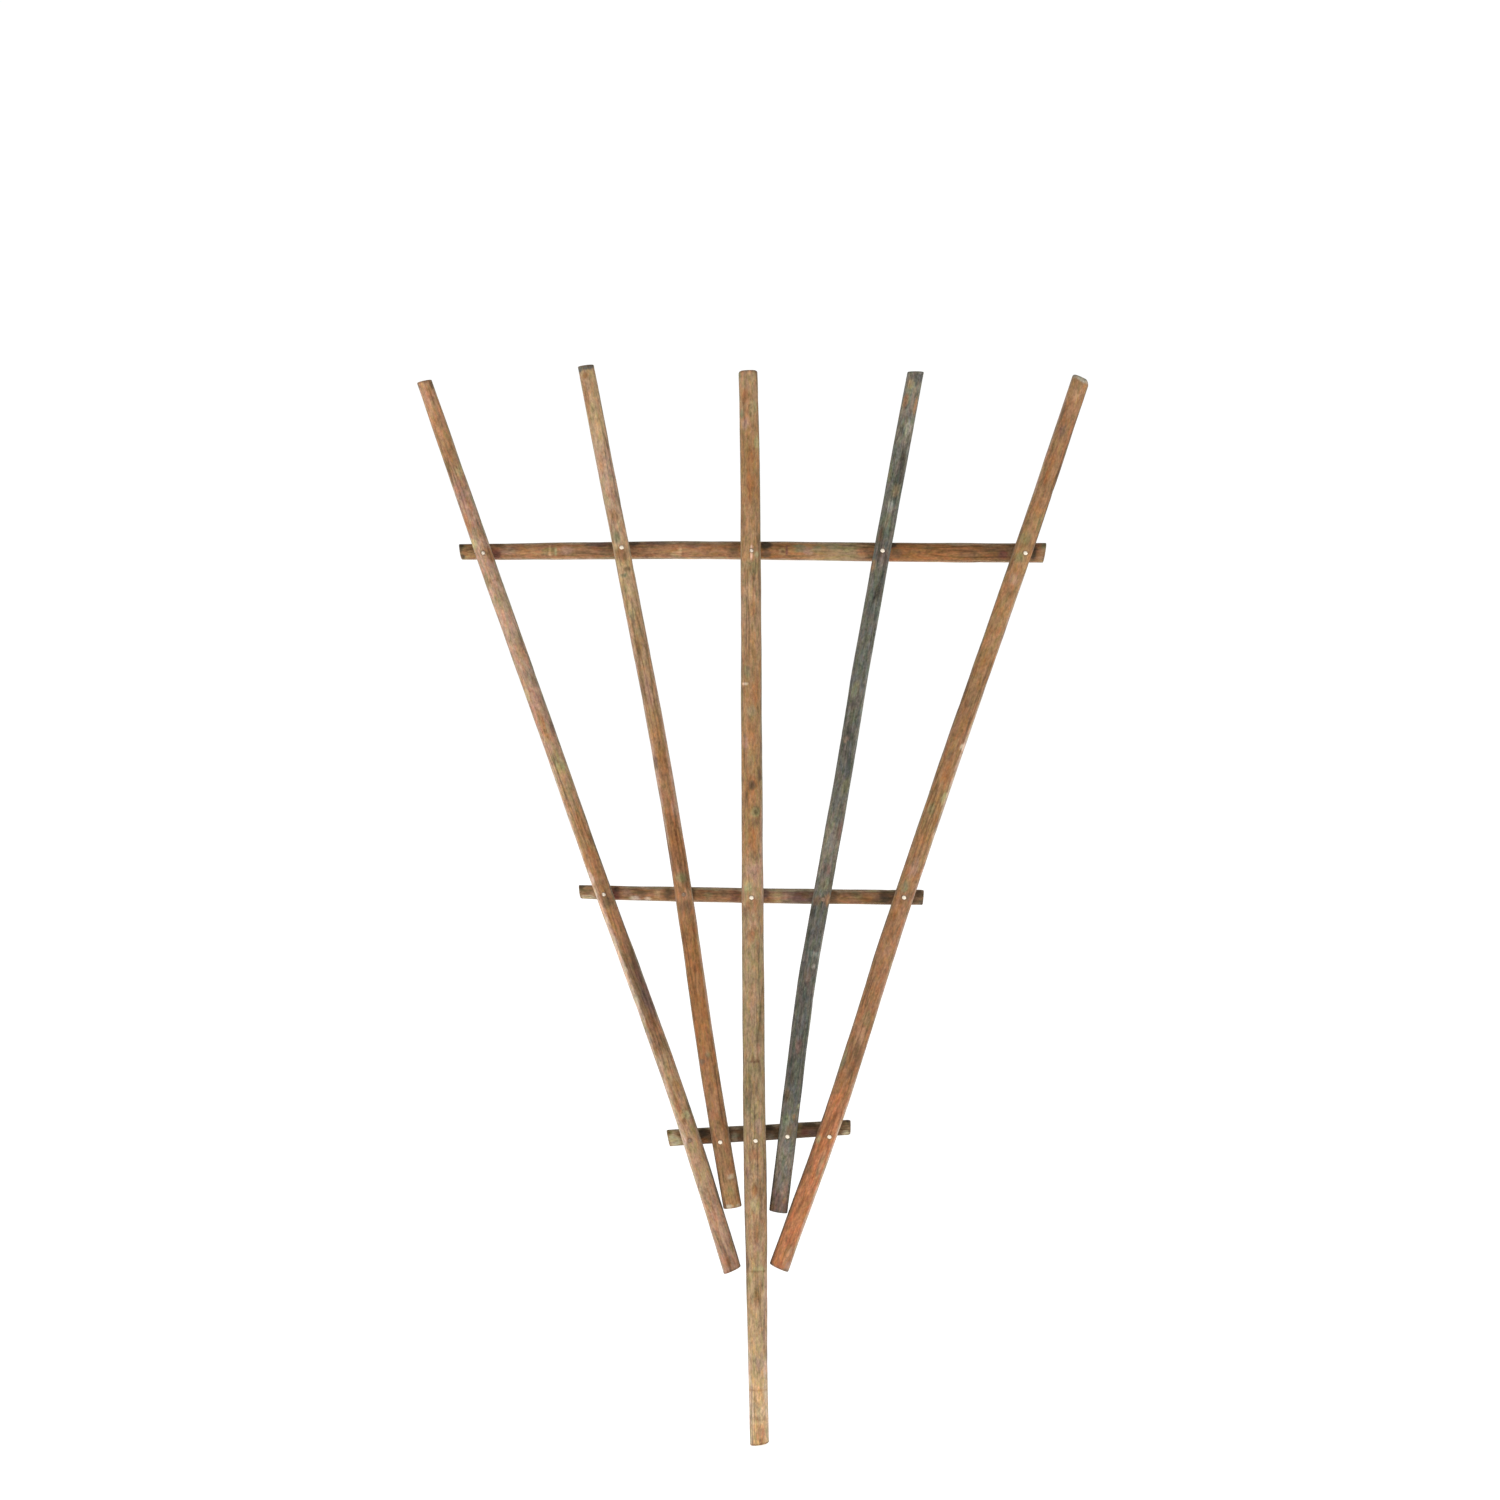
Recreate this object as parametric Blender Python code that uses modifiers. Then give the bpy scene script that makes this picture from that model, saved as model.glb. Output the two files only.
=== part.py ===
"""A rustic fan trellis for climbing plants, modelled stick by stick and nail by nail.

Five bark-on rods fan out upward. The middle one is a longer stake that is pushed into the soil.
Three crossbars lie behind them, and one nail goes through each crossing from the front.

Metres, +Z up, the front facing -Y. The origin is the centre of the stake's sawn foot.
"""

import math

import bmesh
import bpy
from mathutils import Matrix, Vector

# Where the two layers of sticks meet. The rods' backs all lie in one plane, and the crossbars'
# fronts lie in a plane just behind it.
STAKE_FOOT_RADIUS = 0.0108
ROD_BACK_PLANE = STAKE_FOOT_RADIUS
GAP = 0.0003
BAR_FRONT_PLANE = ROD_BACK_PLANE + GAP

# How finely a stick is modelled.
RING_SPACING = 0.075
BEVEL_RESOLUTION = 6

# The saw block that trims a stick's end.
SAW_BLOCK = 0.06

# Nails: round wire nails with flat heads, all of one gauge. The thick stake takes longer ones.
NAIL_LENGTH = 0.032
STAKE_NAIL_LENGTH = 0.038
NAIL_HEAD_RADIUS = 0.0024
NAIL_HEAD_THICKNESS = 0.0009
NAIL_SHANK_RADIUS = 0.0011
NAIL_POINT_LENGTH = 0.003
NAIL_PROUD = 0.0003
NAIL_SIDES = 12
WELD_DISTANCE = 0.00001
HOLE_MOUTH = 0.004
HOLE_POINT_ROOM = 0.0009

# A rod leans and a bar slopes, so each crossing is found in a few rounds, each nearer the last.
CROSSING_ROUNDS = 3

# Every rod from foot to top: (height, sideways, radius) at a few stations. The first and last
# stations lie past the sawn ends. A saw cut is (height, tilt in degrees), where a positive tilt
# rises to the right.
RODS = {
    "upright_left_outer": {
        "stations": [
            (0.165, -0.0210, 0.0106),
            (0.355, -0.0800, 0.0104),
            (0.445, -0.1110, 0.0101),
            (0.650, -0.1860, 0.0097),
            (0.785, -0.2330, 0.0095),
            (0.990, -0.3060, 0.0096),
            (1.230, -0.3890, 0.0084),
        ],
        "low_cut": (0.196, 24.0),
        "high_cut": (1.200, 13.0),
    },
    "upright_left_inner": {
        "stations": [
            (0.240, -0.0255, 0.0105),
            (0.425, -0.0570, 0.0104),
            (0.605, -0.0830, 0.0100),
            (0.718, -0.1010, 0.0097),
            (0.855, -0.1255, 0.0095),
            (0.990, -0.1520, 0.0094),
            (1.245, -0.2015, 0.0092),
        ],
        "low_cut": (0.267, 9.0),
        "high_cut": (1.2175, 8.0),
    },
    "centre_stake": {
        "stations": [
            (-0.030, 0.0010, 0.0107),
            (0.000, 0.0000, STAKE_FOOT_RADIUS),
            (0.110, -0.0022, 0.0112),
            (0.190, -0.0030, 0.0122),
            (0.240, -0.0035, 0.0132),
            (0.380, -0.0057, 0.0129),
            (0.600, -0.0077, 0.0125),
            (0.765, -0.0085, 0.0121),
            (0.990, -0.0098, 0.0116),
            (1.100, -0.0105, 0.0112),
            (1.240, -0.0137, 0.0109),
        ],
        "low_cut": (0.0, 8.0),
        "high_cut": (1.2115, 2.0),
    },
    "upright_right_inner": {
        "stations": [
            (0.235, 0.0180, 0.0105),
            (0.424, 0.0410, 0.0103),
            (0.515, 0.0520, 0.0101),
            (0.605, 0.0680, 0.0100),
            (0.763, 0.0965, 0.0096),
            (0.854, 0.1110, 0.0095),
            (0.990, 0.1355, 0.0096),
            (1.240, 0.1820, 0.0093),
        ],
        "low_cut": (0.262, -9.0),
        "high_cut": (1.2105, -1.0),
    },
    "upright_right_outer": {
        "stations": [
            (0.170, 0.0115, 0.0115),
            (0.379, 0.0870, 0.0114),
            (0.447, 0.1090, 0.0113),
            (0.560, 0.1440, 0.0112),
            (0.763, 0.2125, 0.0110),
            (0.990, 0.2915, 0.0108),
            (1.235, 0.3745, 0.0102),
        ],
        "low_cut": (0.199, -24.0),
        "high_cut": (1.2035, -25.0),
    },
}

# Every crossbar from left to right: (sideways, height, radius) at a few stations. A saw cut is
# (sideways, lean in degrees), where a positive lean takes the cut's top further right.
BARS = {
    "crossbar_top": {
        "stations": [
            (-0.370, 1.0083, 0.0086),
            (-0.280, 1.0087, 0.0094),
            (-0.180, 1.0097, 0.0098),
            (-0.060, 1.0105, 0.0102),
            (0.090, 1.0087, 0.0107),
            (0.230, 1.0075, 0.0110),
            (0.355, 1.0073, 0.0112),
        ],
        "low_cut": (-0.3395, -8.0),
        "high_cut": (0.3240, 9.0),
    },
    "crossbar_middle": {
        "stations": [
            (-0.230, 0.6232, 0.0076),
            (-0.150, 0.6210, 0.0082),
            (-0.030, 0.6185, 0.0086),
            (0.130, 0.6165, 0.0086),
            (0.215, 0.6162, 0.0088),
        ],
        "low_cut": (-0.2040, -6.0),
        "high_cut": (0.1860, 5.0),
    },
    "crossbar_bottom": {
        "stations": [
            (-0.130, 0.3410, 0.0097),
            (-0.060, 0.3455, 0.0093),
            (0.020, 0.3500, 0.0089),
            (0.130, 0.3570, 0.0086),
        ],
        "low_cut": (-0.1035, -11.0),
        "high_cut": (0.1035, 0.0),
    },
}

# Where each nail's head sits: (how far right of the rod's centre line, how far above the bar's).
NAILS = {
    ("crossbar_top", "upright_left_outer"): (0.0, -0.003),
    ("crossbar_top", "upright_left_inner"): (0.001, 0.002),
    ("crossbar_top", "centre_stake"): (0.001, -0.002),
    ("crossbar_top", "upright_right_inner"): (0.0, 0.0),
    ("crossbar_top", "upright_right_outer"): (0.003, -0.002),
    ("crossbar_middle", "upright_left_outer"): (0.0, -0.001),
    ("crossbar_middle", "upright_left_inner"): (0.0, 0.001),
    ("crossbar_middle", "centre_stake"): (-0.001, -0.001),
    ("crossbar_middle", "upright_right_inner"): (0.002, -0.002),
    ("crossbar_middle", "upright_right_outer"): (0.0, 0.001),
    ("crossbar_bottom", "upright_left_outer"): (-0.002, -0.001),
    ("crossbar_bottom", "upright_left_inner"): (-0.001, -0.005),
    ("crossbar_bottom", "centre_stake"): (0.001, -0.005),
    ("crossbar_bottom", "upright_right_inner"): (0.0, -0.003),
    ("crossbar_bottom", "upright_right_outer"): (0.003, -0.006),
}

# Finish of each piece: (linear red, green, blue), roughness and metallic value.
FINISHES = {
    "upright_left_outer": ((0.36, 0.235, 0.145), 0.80, 0.0),
    "upright_left_inner": ((0.34, 0.20, 0.11), 0.80, 0.0),
    "centre_stake": ((0.34, 0.225, 0.125), 0.80, 0.0),
    "upright_right_inner": ((0.145, 0.133, 0.105), 0.85, 0.0),
    "upright_right_outer": ((0.33, 0.18, 0.09), 0.80, 0.0),
    "crossbar_top": ((0.27, 0.15, 0.07), 0.80, 0.0),
    "crossbar_middle": ((0.23, 0.125, 0.07), 0.80, 0.0),
    "crossbar_bottom": ((0.16, 0.105, 0.05), 0.85, 0.0),
    "nail": ((0.80, 0.76, 0.68), 0.40, 1.0),
}


def clear_scene():
    """Start from an empty scene."""
    for thing in list(bpy.data.objects):
        bpy.data.objects.remove(thing, do_unlink=True)


def new_collection(name, helper=False):
    """A collection in the scene. A helper collection stays out of renders."""
    collection = bpy.data.collections.new(name)
    bpy.context.scene.collection.children.link(collection)
    collection.hide_render = helper
    return collection


def make_material(name):
    """The Principled material of one finish."""
    colour, roughness, metallic = FINISHES[name]
    material = bpy.data.materials.new(name)
    material.use_nodes = True
    shader = material.node_tree.nodes["Principled BSDF"]
    shader.inputs["Base Color"].default_value = (*colour, 1.0)
    shader.inputs["Roughness"].default_value = roughness
    shader.inputs["Metallic"].default_value = metallic
    return material


def make_helper(thing, collection):
    """Put a cutter in its collection, where it shows as wire and isn't rendered."""
    collection.objects.link(thing)
    thing.display_type = "WIRE"
    thing.hide_render = True


def slope_at(stations, index, column):
    """How fast a column changes at a station, from the stations on either side of it."""
    before = stations[max(index - 1, 0)]
    after = stations[min(index + 1, len(stations) - 1)]
    return (after[column] - before[column]) / (after[0] - before[0])


def read_along(stations, place, column):
    """A column's value at a place along the stick, on a smooth curve through its stations."""
    index = 0
    while index < len(stations) - 2 and stations[index + 1][0] < place:
        index += 1
    start = stations[index]
    end = stations[index + 1]
    span = end[0] - start[0]
    t = (place - start[0]) / span
    rise = t * t * (3.0 - 2.0 * t)
    leave = t * (1.0 - t) * (1.0 - t) * span * slope_at(stations, index, column)
    arrive = t * t * (1.0 - t) * span * slope_at(stations, index + 1, column)
    return start[column] + rise * (end[column] - start[column]) + leave - arrive


def rod_centre(name, height):
    """The centre of a rod at a height, and its radius there. Its back touches the back plane."""
    stations = RODS[name]["stations"]
    radius = read_along(stations, height, 2)
    sideways = read_along(stations, height, 1)
    return Vector((sideways, ROD_BACK_PLANE - radius, height)), radius


def bar_centre(name, sideways):
    """The centre of a crossbar at a place along it, and its radius there."""
    stations = BARS[name]["stations"]
    radius = read_along(stations, sideways, 2)
    height = read_along(stations, sideways, 1)
    return Vector((sideways, BAR_FRONT_PLANE + radius, height)), radius


def curve_through(name, centre_at, stations):
    """A round bevelled curve that follows a stick's centre and radius from end to end."""
    first = stations[0][0]
    last = stations[-1][0]
    steps = math.ceil((last - first) / RING_SPACING)
    curve = bpy.data.curves.new(name, "CURVE")
    curve.dimensions = "3D"
    curve.bevel_depth = 1.0
    curve.bevel_resolution = BEVEL_RESOLUTION
    curve.use_fill_caps = True
    spline = curve.splines.new("POLY")
    spline.points.add(steps)
    for step, point in enumerate(spline.points):
        place, radius = centre_at(name, first + (last - first) * step / steps)
        point.co = (*place, 1.0)
        point.radius = radius
    return bpy.data.objects.new(name + "_curve", curve)


def mesh_from_curve(name, curve_object, parts):
    """Turn a curve object into a mesh object with its caps welded on, and remove the curve."""
    parts.objects.link(curve_object)
    graph = bpy.context.evaluated_depsgraph_get()
    mesh = bpy.data.meshes.new_from_object(curve_object.evaluated_get(graph))
    mesh.name = name
    work = bmesh.new()
    work.from_mesh(mesh)
    bmesh.ops.remove_doubles(work, verts=work.verts, dist=WELD_DISTANCE)
    bmesh.ops.recalc_face_normals(work, faces=work.faces)
    work.to_mesh(mesh)
    work.free()
    mesh.materials.clear()
    mesh.shade_smooth()
    stick = bpy.data.objects.new(name, mesh)
    stick.matrix_world = curve_object.matrix_world
    parts.objects.link(stick)
    bpy.data.objects.remove(curve_object, do_unlink=True)
    return stick


def cut(piece, cutter):
    """Cut one piece with one cutter."""
    boolean = piece.modifiers.new(cutter.name, "BOOLEAN")
    boolean.operation = "DIFFERENCE"
    boolean.solver = "EXACT"
    boolean.object = cutter


def saw_block(name, centre, turn, away, cutters):
    """A block whose near face is the saw cut: through centre, turned in the trellis's plane."""
    mesh = bpy.data.meshes.new(name)
    work = bmesh.new()
    shift = Matrix.Translation(Vector(away) * SAW_BLOCK / 2.0)
    bmesh.ops.create_cube(work, size=SAW_BLOCK, matrix=shift)
    work.to_mesh(mesh)
    work.free()
    block = bpy.data.objects.new(name, mesh)
    block.location = centre
    block.rotation_euler = (0.0, turn, 0.0)
    make_helper(block, cutters)
    return block


def make_rod(name, parts, cutters):
    """One rod of the fan, sawn to length at both ends."""
    rod = mesh_from_curve(name, curve_through(name, rod_centre, RODS[name]["stations"]), parts)
    for end, away in (("low_cut", (0, 0, -1)), ("high_cut", (0, 0, 1))):
        height, tilt = RODS[name][end]
        centre, _ = rod_centre(name, height)
        cut(rod, saw_block(f"{name}_{end}", centre, -math.radians(tilt), away, cutters))
    rod.data.materials.append(make_material(name))
    return rod


def make_bar(name, parts, cutters):
    """One crossbar, sawn to length at both ends."""
    bar = mesh_from_curve(name, curve_through(name, bar_centre, BARS[name]["stations"]), parts)
    for end, away in (("low_cut", (-1, 0, 0)), ("high_cut", (1, 0, 0))):
        sideways, lean = BARS[name][end]
        centre, _ = bar_centre(name, sideways)
        cut(bar, saw_block(f"{name}_{end}", centre, math.radians(lean), away, cutters))
    bar.data.materials.append(make_material(name))
    return bar


def turned_mesh(name, profile):
    """An open profile at +X, from top to bottom, for a Screw modifier to turn about Z."""
    mesh = bpy.data.meshes.new(name)
    points = [(radius, 0.0, height) for radius, height in profile]
    edges = [(index, index + 1) for index in range(len(points) - 1)]
    mesh.from_pydata(points, edges, [])
    return mesh


def turn_profile(thing):
    """Turn an object's profile into a closed round solid."""
    screw = thing.modifiers.new("turn", "SCREW")
    screw.steps = NAIL_SIDES
    screw.render_steps = NAIL_SIDES
    screw.use_merge_vertices = True
    screw.merge_threshold = WELD_DISTANCE
    screw.use_smooth_shade = False


def nail_profile(length):
    """A wire nail hanging down from its head's top face: head, shank and point."""
    point_top = NAIL_POINT_LENGTH - length
    return [
        (0.0, 0.0),
        (NAIL_HEAD_RADIUS, 0.0),
        (NAIL_HEAD_RADIUS, -NAIL_HEAD_THICKNESS),
        (NAIL_SHANK_RADIUS, -NAIL_HEAD_THICKNESS),
        (NAIL_SHANK_RADIUS, point_top),
        (0.0, -length),
    ]


def hole_profile(length):
    """The nail's hole: the same shape with a gap all round, open above the head."""
    seat = -NAIL_HEAD_THICKNESS - GAP
    point_top = NAIL_POINT_LENGTH - length
    return [
        (0.0, HOLE_MOUTH),
        (NAIL_HEAD_RADIUS + GAP, HOLE_MOUTH),
        (NAIL_HEAD_RADIUS + GAP, seat),
        (NAIL_SHANK_RADIUS + GAP, seat),
        (NAIL_SHANK_RADIUS + GAP, point_top),
        (0.0, -length - HOLE_POINT_ROOM),
    ]


def nail_seat(bar_name, rod_name):
    """Where a nail's head sits on the rod, and the way it is driven into the bar.

    It is aimed halfway back from its own height to the bar's centre line, so it holds in the
    thick of the bar.
    """
    sideways_offset, height_offset = NAILS[bar_name, rod_name]
    bar_height = BARS[bar_name]["stations"][0][1]
    for _ in range(CROSSING_ROUNDS):
        crossing, _ = rod_centre(rod_name, bar_height)
        bar_middle, _ = bar_centre(bar_name, crossing.x)
        bar_height = bar_middle.z
    height = bar_height + height_offset
    middle, radius = rod_centre(rod_name, height)
    depth = math.sqrt(radius**2 - sideways_offset**2) + NAIL_PROUD
    head = middle + Vector((sideways_offset, -depth, 0.0))
    aim = Vector((head.x, bar_middle.y, bar_height + height_offset / 2.0))
    return head, (aim - head).normalized()


def make_nail(bar_name, rod_name, bar, rod, material, parts, cutters):
    """One nail through a crossing, and its hole through the rod and into the bar."""
    place = bar_name.removeprefix("crossbar_")
    name = f"nail_{place}_{rod_name.removeprefix('upright_').removeprefix('centre_')}"
    length = STAKE_NAIL_LENGTH if rod_name == "centre_stake" else NAIL_LENGTH
    head, drive = nail_seat(bar_name, rod_name)
    aimed = Vector((0.0, 0.0, -1.0)).rotation_difference(drive).to_euler()

    nail = bpy.data.objects.new(name, turned_mesh(name, nail_profile(length)))
    nail.location = head
    nail.rotation_euler = aimed
    nail.data.materials.append(material)
    turn_profile(nail)
    parts.objects.link(nail)

    hole = bpy.data.objects.new(name + "_hole", turned_mesh(name + "_hole", hole_profile(length)))
    hole.location = head
    hole.rotation_euler = aimed
    turn_profile(hole)
    make_helper(hole, cutters)
    cut(rod, hole)
    cut(bar, hole)


def main():
    clear_scene()
    parts = new_collection("fan_trellis")
    cutters = new_collection("cutters", helper=True)
    rods = {name: make_rod(name, parts, cutters) for name in RODS}
    bars = {name: make_bar(name, parts, cutters) for name in BARS}
    steel = make_material("nail")
    for bar_name, rod_name in NAILS:
        make_nail(bar_name, rod_name, bars[bar_name], rods[rod_name], steel, parts, cutters)


main()
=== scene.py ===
# %% [markdown]
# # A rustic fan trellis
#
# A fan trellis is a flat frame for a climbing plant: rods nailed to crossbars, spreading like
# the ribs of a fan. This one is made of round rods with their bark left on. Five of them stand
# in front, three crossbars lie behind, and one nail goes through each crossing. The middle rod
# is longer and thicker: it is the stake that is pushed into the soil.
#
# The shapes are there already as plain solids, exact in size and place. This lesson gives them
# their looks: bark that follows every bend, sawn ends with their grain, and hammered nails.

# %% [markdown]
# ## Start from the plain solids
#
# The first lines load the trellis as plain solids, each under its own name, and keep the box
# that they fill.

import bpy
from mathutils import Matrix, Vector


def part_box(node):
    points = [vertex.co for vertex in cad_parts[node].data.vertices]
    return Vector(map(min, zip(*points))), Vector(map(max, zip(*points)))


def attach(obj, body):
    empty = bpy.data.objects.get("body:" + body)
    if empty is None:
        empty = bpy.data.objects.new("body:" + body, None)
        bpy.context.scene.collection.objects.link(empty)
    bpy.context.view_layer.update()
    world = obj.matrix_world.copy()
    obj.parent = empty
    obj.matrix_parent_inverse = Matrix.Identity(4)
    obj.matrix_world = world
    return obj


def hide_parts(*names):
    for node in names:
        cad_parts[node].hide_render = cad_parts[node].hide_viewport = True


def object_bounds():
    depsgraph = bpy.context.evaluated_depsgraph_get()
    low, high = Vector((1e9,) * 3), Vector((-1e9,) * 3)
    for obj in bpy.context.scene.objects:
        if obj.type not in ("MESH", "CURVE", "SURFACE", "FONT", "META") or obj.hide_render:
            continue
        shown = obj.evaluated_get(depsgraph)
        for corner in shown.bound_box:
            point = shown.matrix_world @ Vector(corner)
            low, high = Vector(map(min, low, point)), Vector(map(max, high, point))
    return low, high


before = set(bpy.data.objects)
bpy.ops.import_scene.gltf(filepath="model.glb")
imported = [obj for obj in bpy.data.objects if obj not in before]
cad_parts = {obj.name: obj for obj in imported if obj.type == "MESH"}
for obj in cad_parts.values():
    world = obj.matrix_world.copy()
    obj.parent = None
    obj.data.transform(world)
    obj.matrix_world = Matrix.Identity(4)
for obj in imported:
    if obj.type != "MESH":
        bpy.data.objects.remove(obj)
plain_low, plain_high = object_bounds()
print("plain solids:", sorted(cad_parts))
print("they reach from", plain_low, "to", plain_high)

# %% [markdown]
# Blender's own modules make the meshes, the materials and the lights. NumPy handles thousands of
# points at once, which keeps the bark quick to make. Three directions get names, because every
# step below says what is in front, to the right or above.

# %% Tools used below
import math

import bmesh
import bpy
import numpy as np
from mathutils import Vector, noise
from mathutils.bvhtree import BVHTree

MM = 0.001
FRONT = Vector((0, -1, 0))
RIGHT = Vector((1, 0, 0))
UP = Vector((0, 0, 1))

# %% [markdown]
# ## The camera
#
# The trellis is flat, so it is shown straight from the front, at eye level with its upper half.
# A long lens from four metres away keeps the rods' spread true. The camera stands a little
# above the middle of the trellis, which leaves more room over it than under it.

# %% Place the camera
CAMERA_DISTANCE = 4.0
LENS = 85.0
CAMERA_SHIFT_LEFT = 0.0037
CAMERA_SHIFT_UP = 0.1748

middle = (plain_low + plain_high) / 2
camera = bpy.data.objects.new("camera", bpy.data.cameras.new("camera"))
bpy.context.scene.collection.objects.link(camera)
camera.data.lens = LENS
camera.location = (middle.x - CAMERA_SHIFT_LEFT, -CAMERA_DISTANCE, middle.z + CAMERA_SHIFT_UP)
camera.rotation_euler = (math.pi / 2, 0, 0)
bpy.context.scene.camera = camera
print("camera at", camera.location)

# %% [markdown]
# ## Writing a finish
#
# A material is a graph of nodes, and its maths soon fills the screen. A small class keeps it
# readable. A `Wire` is one output socket, and plain arithmetic on wires adds the Math nodes,
# so `1 - mask * 0.5` means what it says. A `Bench` holds one node tree. Its method `node` adds
# any node, given its settings and then the values or wires of its sockets, and the methods
# below it are short names for what is added often.

# %% Wires and the bench
class Wire:
    """One output socket. Arithmetic on it adds Math nodes to the same tree."""

    def __init__(self, bench, socket):
        self.bench = bench
        self.socket = socket

    def maths(self, operation, first, second):
        return self.bench.node("ShaderNodeMath", {"operation": operation}, {0: first, 1: second}, 0)

    def __add__(self, other):
        return self.maths("ADD", self, other)

    def __radd__(self, other):
        return self.maths("ADD", other, self)

    def __sub__(self, other):
        return self.maths("SUBTRACT", self, other)

    def __rsub__(self, other):
        return self.maths("SUBTRACT", other, self)

    def __mul__(self, other):
        return self.maths("MULTIPLY", self, other)


class Bench:
    """The node tree of one material or world, and the one way to add to it."""

    def __init__(self, owner):
        owner.use_nodes = True
        self.tree = owner.node_tree
        self.tree.nodes.clear()

    def node(self, kind, settings, sockets, output=None):
        made = self.tree.nodes.new(kind)
        for setting, value in settings.items():
            setattr(made, setting, value)
        for socket, value in sockets.items():
            if isinstance(value, Wire):
                self.tree.links.new(value.socket, made.inputs[socket])
            else:
                made.inputs[socket].default_value = value
        return made if output is None else Wire(self, made.outputs[output])

    def vector(self, operation, *sockets, output="Vector"):
        numbered = dict(enumerate(sockets))
        return self.node("ShaderNodeVectorMath", {"operation": operation}, numbered, output)

    def mix(self, factor, first, second, blend="MIX"):
        """Two colours, mixed. A plain colour is three numbers."""
        colours = [c if isinstance(c, Wire) else (*c, 1) for c in (first, second)]
        settings = {"data_type": "RGBA", "blend_type": blend}
        return self.node("ShaderNodeMix", settings, {0: factor, 6: colours[0], 7: colours[1]}, 2)

    def ease(self, value, start, end):
        """0 below start, 1 above end, and a soft step between them."""
        settings = {"interpolation_type": "SMOOTHSTEP"}
        sockets = {"Value": value, "From Min": start, "From Max": end}
        return self.node("ShaderNodeMapRange", settings, sockets, "Result")

    def stretched(self, place, sizes):
        """A place measured in grains of the given size, in metres, along each axis."""
        return self.vector("MULTIPLY", place, [1 / size for size in sizes])

    def noise(self, place, sizes, detail, twist=0.0):
        sockets = {"Vector": self.stretched(place, sizes), "Scale": 1.0, "Detail": detail}
        sockets["Distortion"] = twist
        return self.node("ShaderNodeTexNoise", {}, sockets, "Fac")

    def patch(self, colour, gain, cover):
        """A colour with its red, green and blue scaled by a gain where cover is 1."""
        return self.mix(cover, colour, self.mix(1.0, colour, gain, "MULTIPLY"))

    def painted(self, name, output):
        """What was stored on the mesh's points under a name."""
        return self.node("ShaderNodeAttribute", {"attribute_name": name}, {}, output)

    def bump(self, height, strength, distance):
        """A Normal for the surface, tilted by fine relief."""
        sockets = {"Strength": strength, "Distance": distance, "Height": height}
        return self.node("ShaderNodeBump", {}, sockets, "Normal")

    def surface(self, sockets):
        """The material's surface, with what goes into each of its sockets."""
        shader = self.node("ShaderNodeBsdfPrincipled", {}, sockets, "BSDF")
        self.node("ShaderNodeOutputMaterial", {}, {"Surface": shader})


# %% [markdown]
# ## The studio
#
# The trellis stands on a white light table. The table glows a little, so the undersides of the
# sticks aren't dark, and no hard shadow falls under the foot. One large flat
# sheet is enough for it, because its edge is too far away to be seen.

# %% Floor
FLOOR_SIZE = 60.0
FLOOR_WHITE = 0.85
FLOOR_GLOW = 0.74
FLOOR_ROUGHNESS = 0.9

floor_mesh = bpy.data.meshes.new("floor")
shape = bmesh.new()
bmesh.ops.create_grid(shape, x_segments=1, y_segments=1, size=FLOOR_SIZE / 2)
shape.to_mesh(floor_mesh)
shape.free()
floor = bpy.data.objects.new("floor", floor_mesh)
floor.location.z = plain_low.z
bpy.context.scene.collection.objects.link(floor)

floor_finish = bpy.data.materials.new("light_table")
Bench(floor_finish).surface({
    "Base Color": (FLOOR_WHITE, FLOOR_WHITE, FLOOR_WHITE, 1),
    "Roughness": FLOOR_ROUGHNESS,
    "Specular IOR Level": 0.0,
    "Emission Color": (1, 1, 1, 1),
    "Emission Strength": FLOOR_GLOW,
})
floor_mesh.materials.append(floor_finish)
print("floor at height", round(floor.location.z, 4))

# %% [markdown]
# The rest of the room is the world, and its strength depends on the direction. It is brightest
# in front and behind, where the two faces of the fan are, and dimmer at the sides, which shows
# that the sticks are round. Overhead it is dimmer too. Each fade is between two parts of a
# direction, from -1 to 1: how far back it points, or how far up. The camera sees none of this:
# the Light Path node picks out its own rays, and shows them a plain white sweep.

# %% Room light
SWEEP_WHITE = 1.04
FRONT_LIGHT = 0.99
SIDE_LIGHT = 0.55
BACK_LIGHT = 0.95
CEILING_LIGHT = 0.60
FRONT_FADE = (-0.9, -0.1)
BACK_FADE = (0.5, 0.95)
CEILING_FADE = (0.2, 0.8)

world = bpy.data.worlds.new("sweep")
bpy.context.scene.world = world
bench = Bench(world)
direction = bench.node("ShaderNodeTexCoord", {}, {}, "Generated")
axes = bench.node("ShaderNodeSeparateXYZ", {}, {0: direction})
backward = Wire(bench, axes.outputs["Y"])
height = Wire(bench, axes.outputs["Z"])
round_about = FRONT_LIGHT - bench.ease(backward, *FRONT_FADE) * (FRONT_LIGHT - SIDE_LIGHT)
round_about = round_about + bench.ease(backward, *BACK_FADE) * (BACK_LIGHT - SIDE_LIGHT)
room = round_about * (1 - bench.ease(height, *CEILING_FADE) * (1 - CEILING_LIGHT))
seen = bench.node("ShaderNodeLightPath", {}, {}, "Is Camera Ray")
strength = room + seen * (SWEEP_WHITE - room)
sky = bench.node("ShaderNodeBackground", {}, {"Color": (1, 1, 1, 1), "Strength": strength}, 0)
bench.node("ShaderNodeOutputWorld", {}, {"Surface": sky})
bpy.context.scene.view_settings.view_transform = "Standard"
print("room light:", FRONT_LIGHT, "in front,", SIDE_LIGHT, "at the sides,", BACK_LIGHT, "behind")

# %% [markdown]
# Two large lights stand low on either side, and the left one is stronger. They brighten the
# narrow lower part of the fan, where the rods stand close and shade each other.

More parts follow.
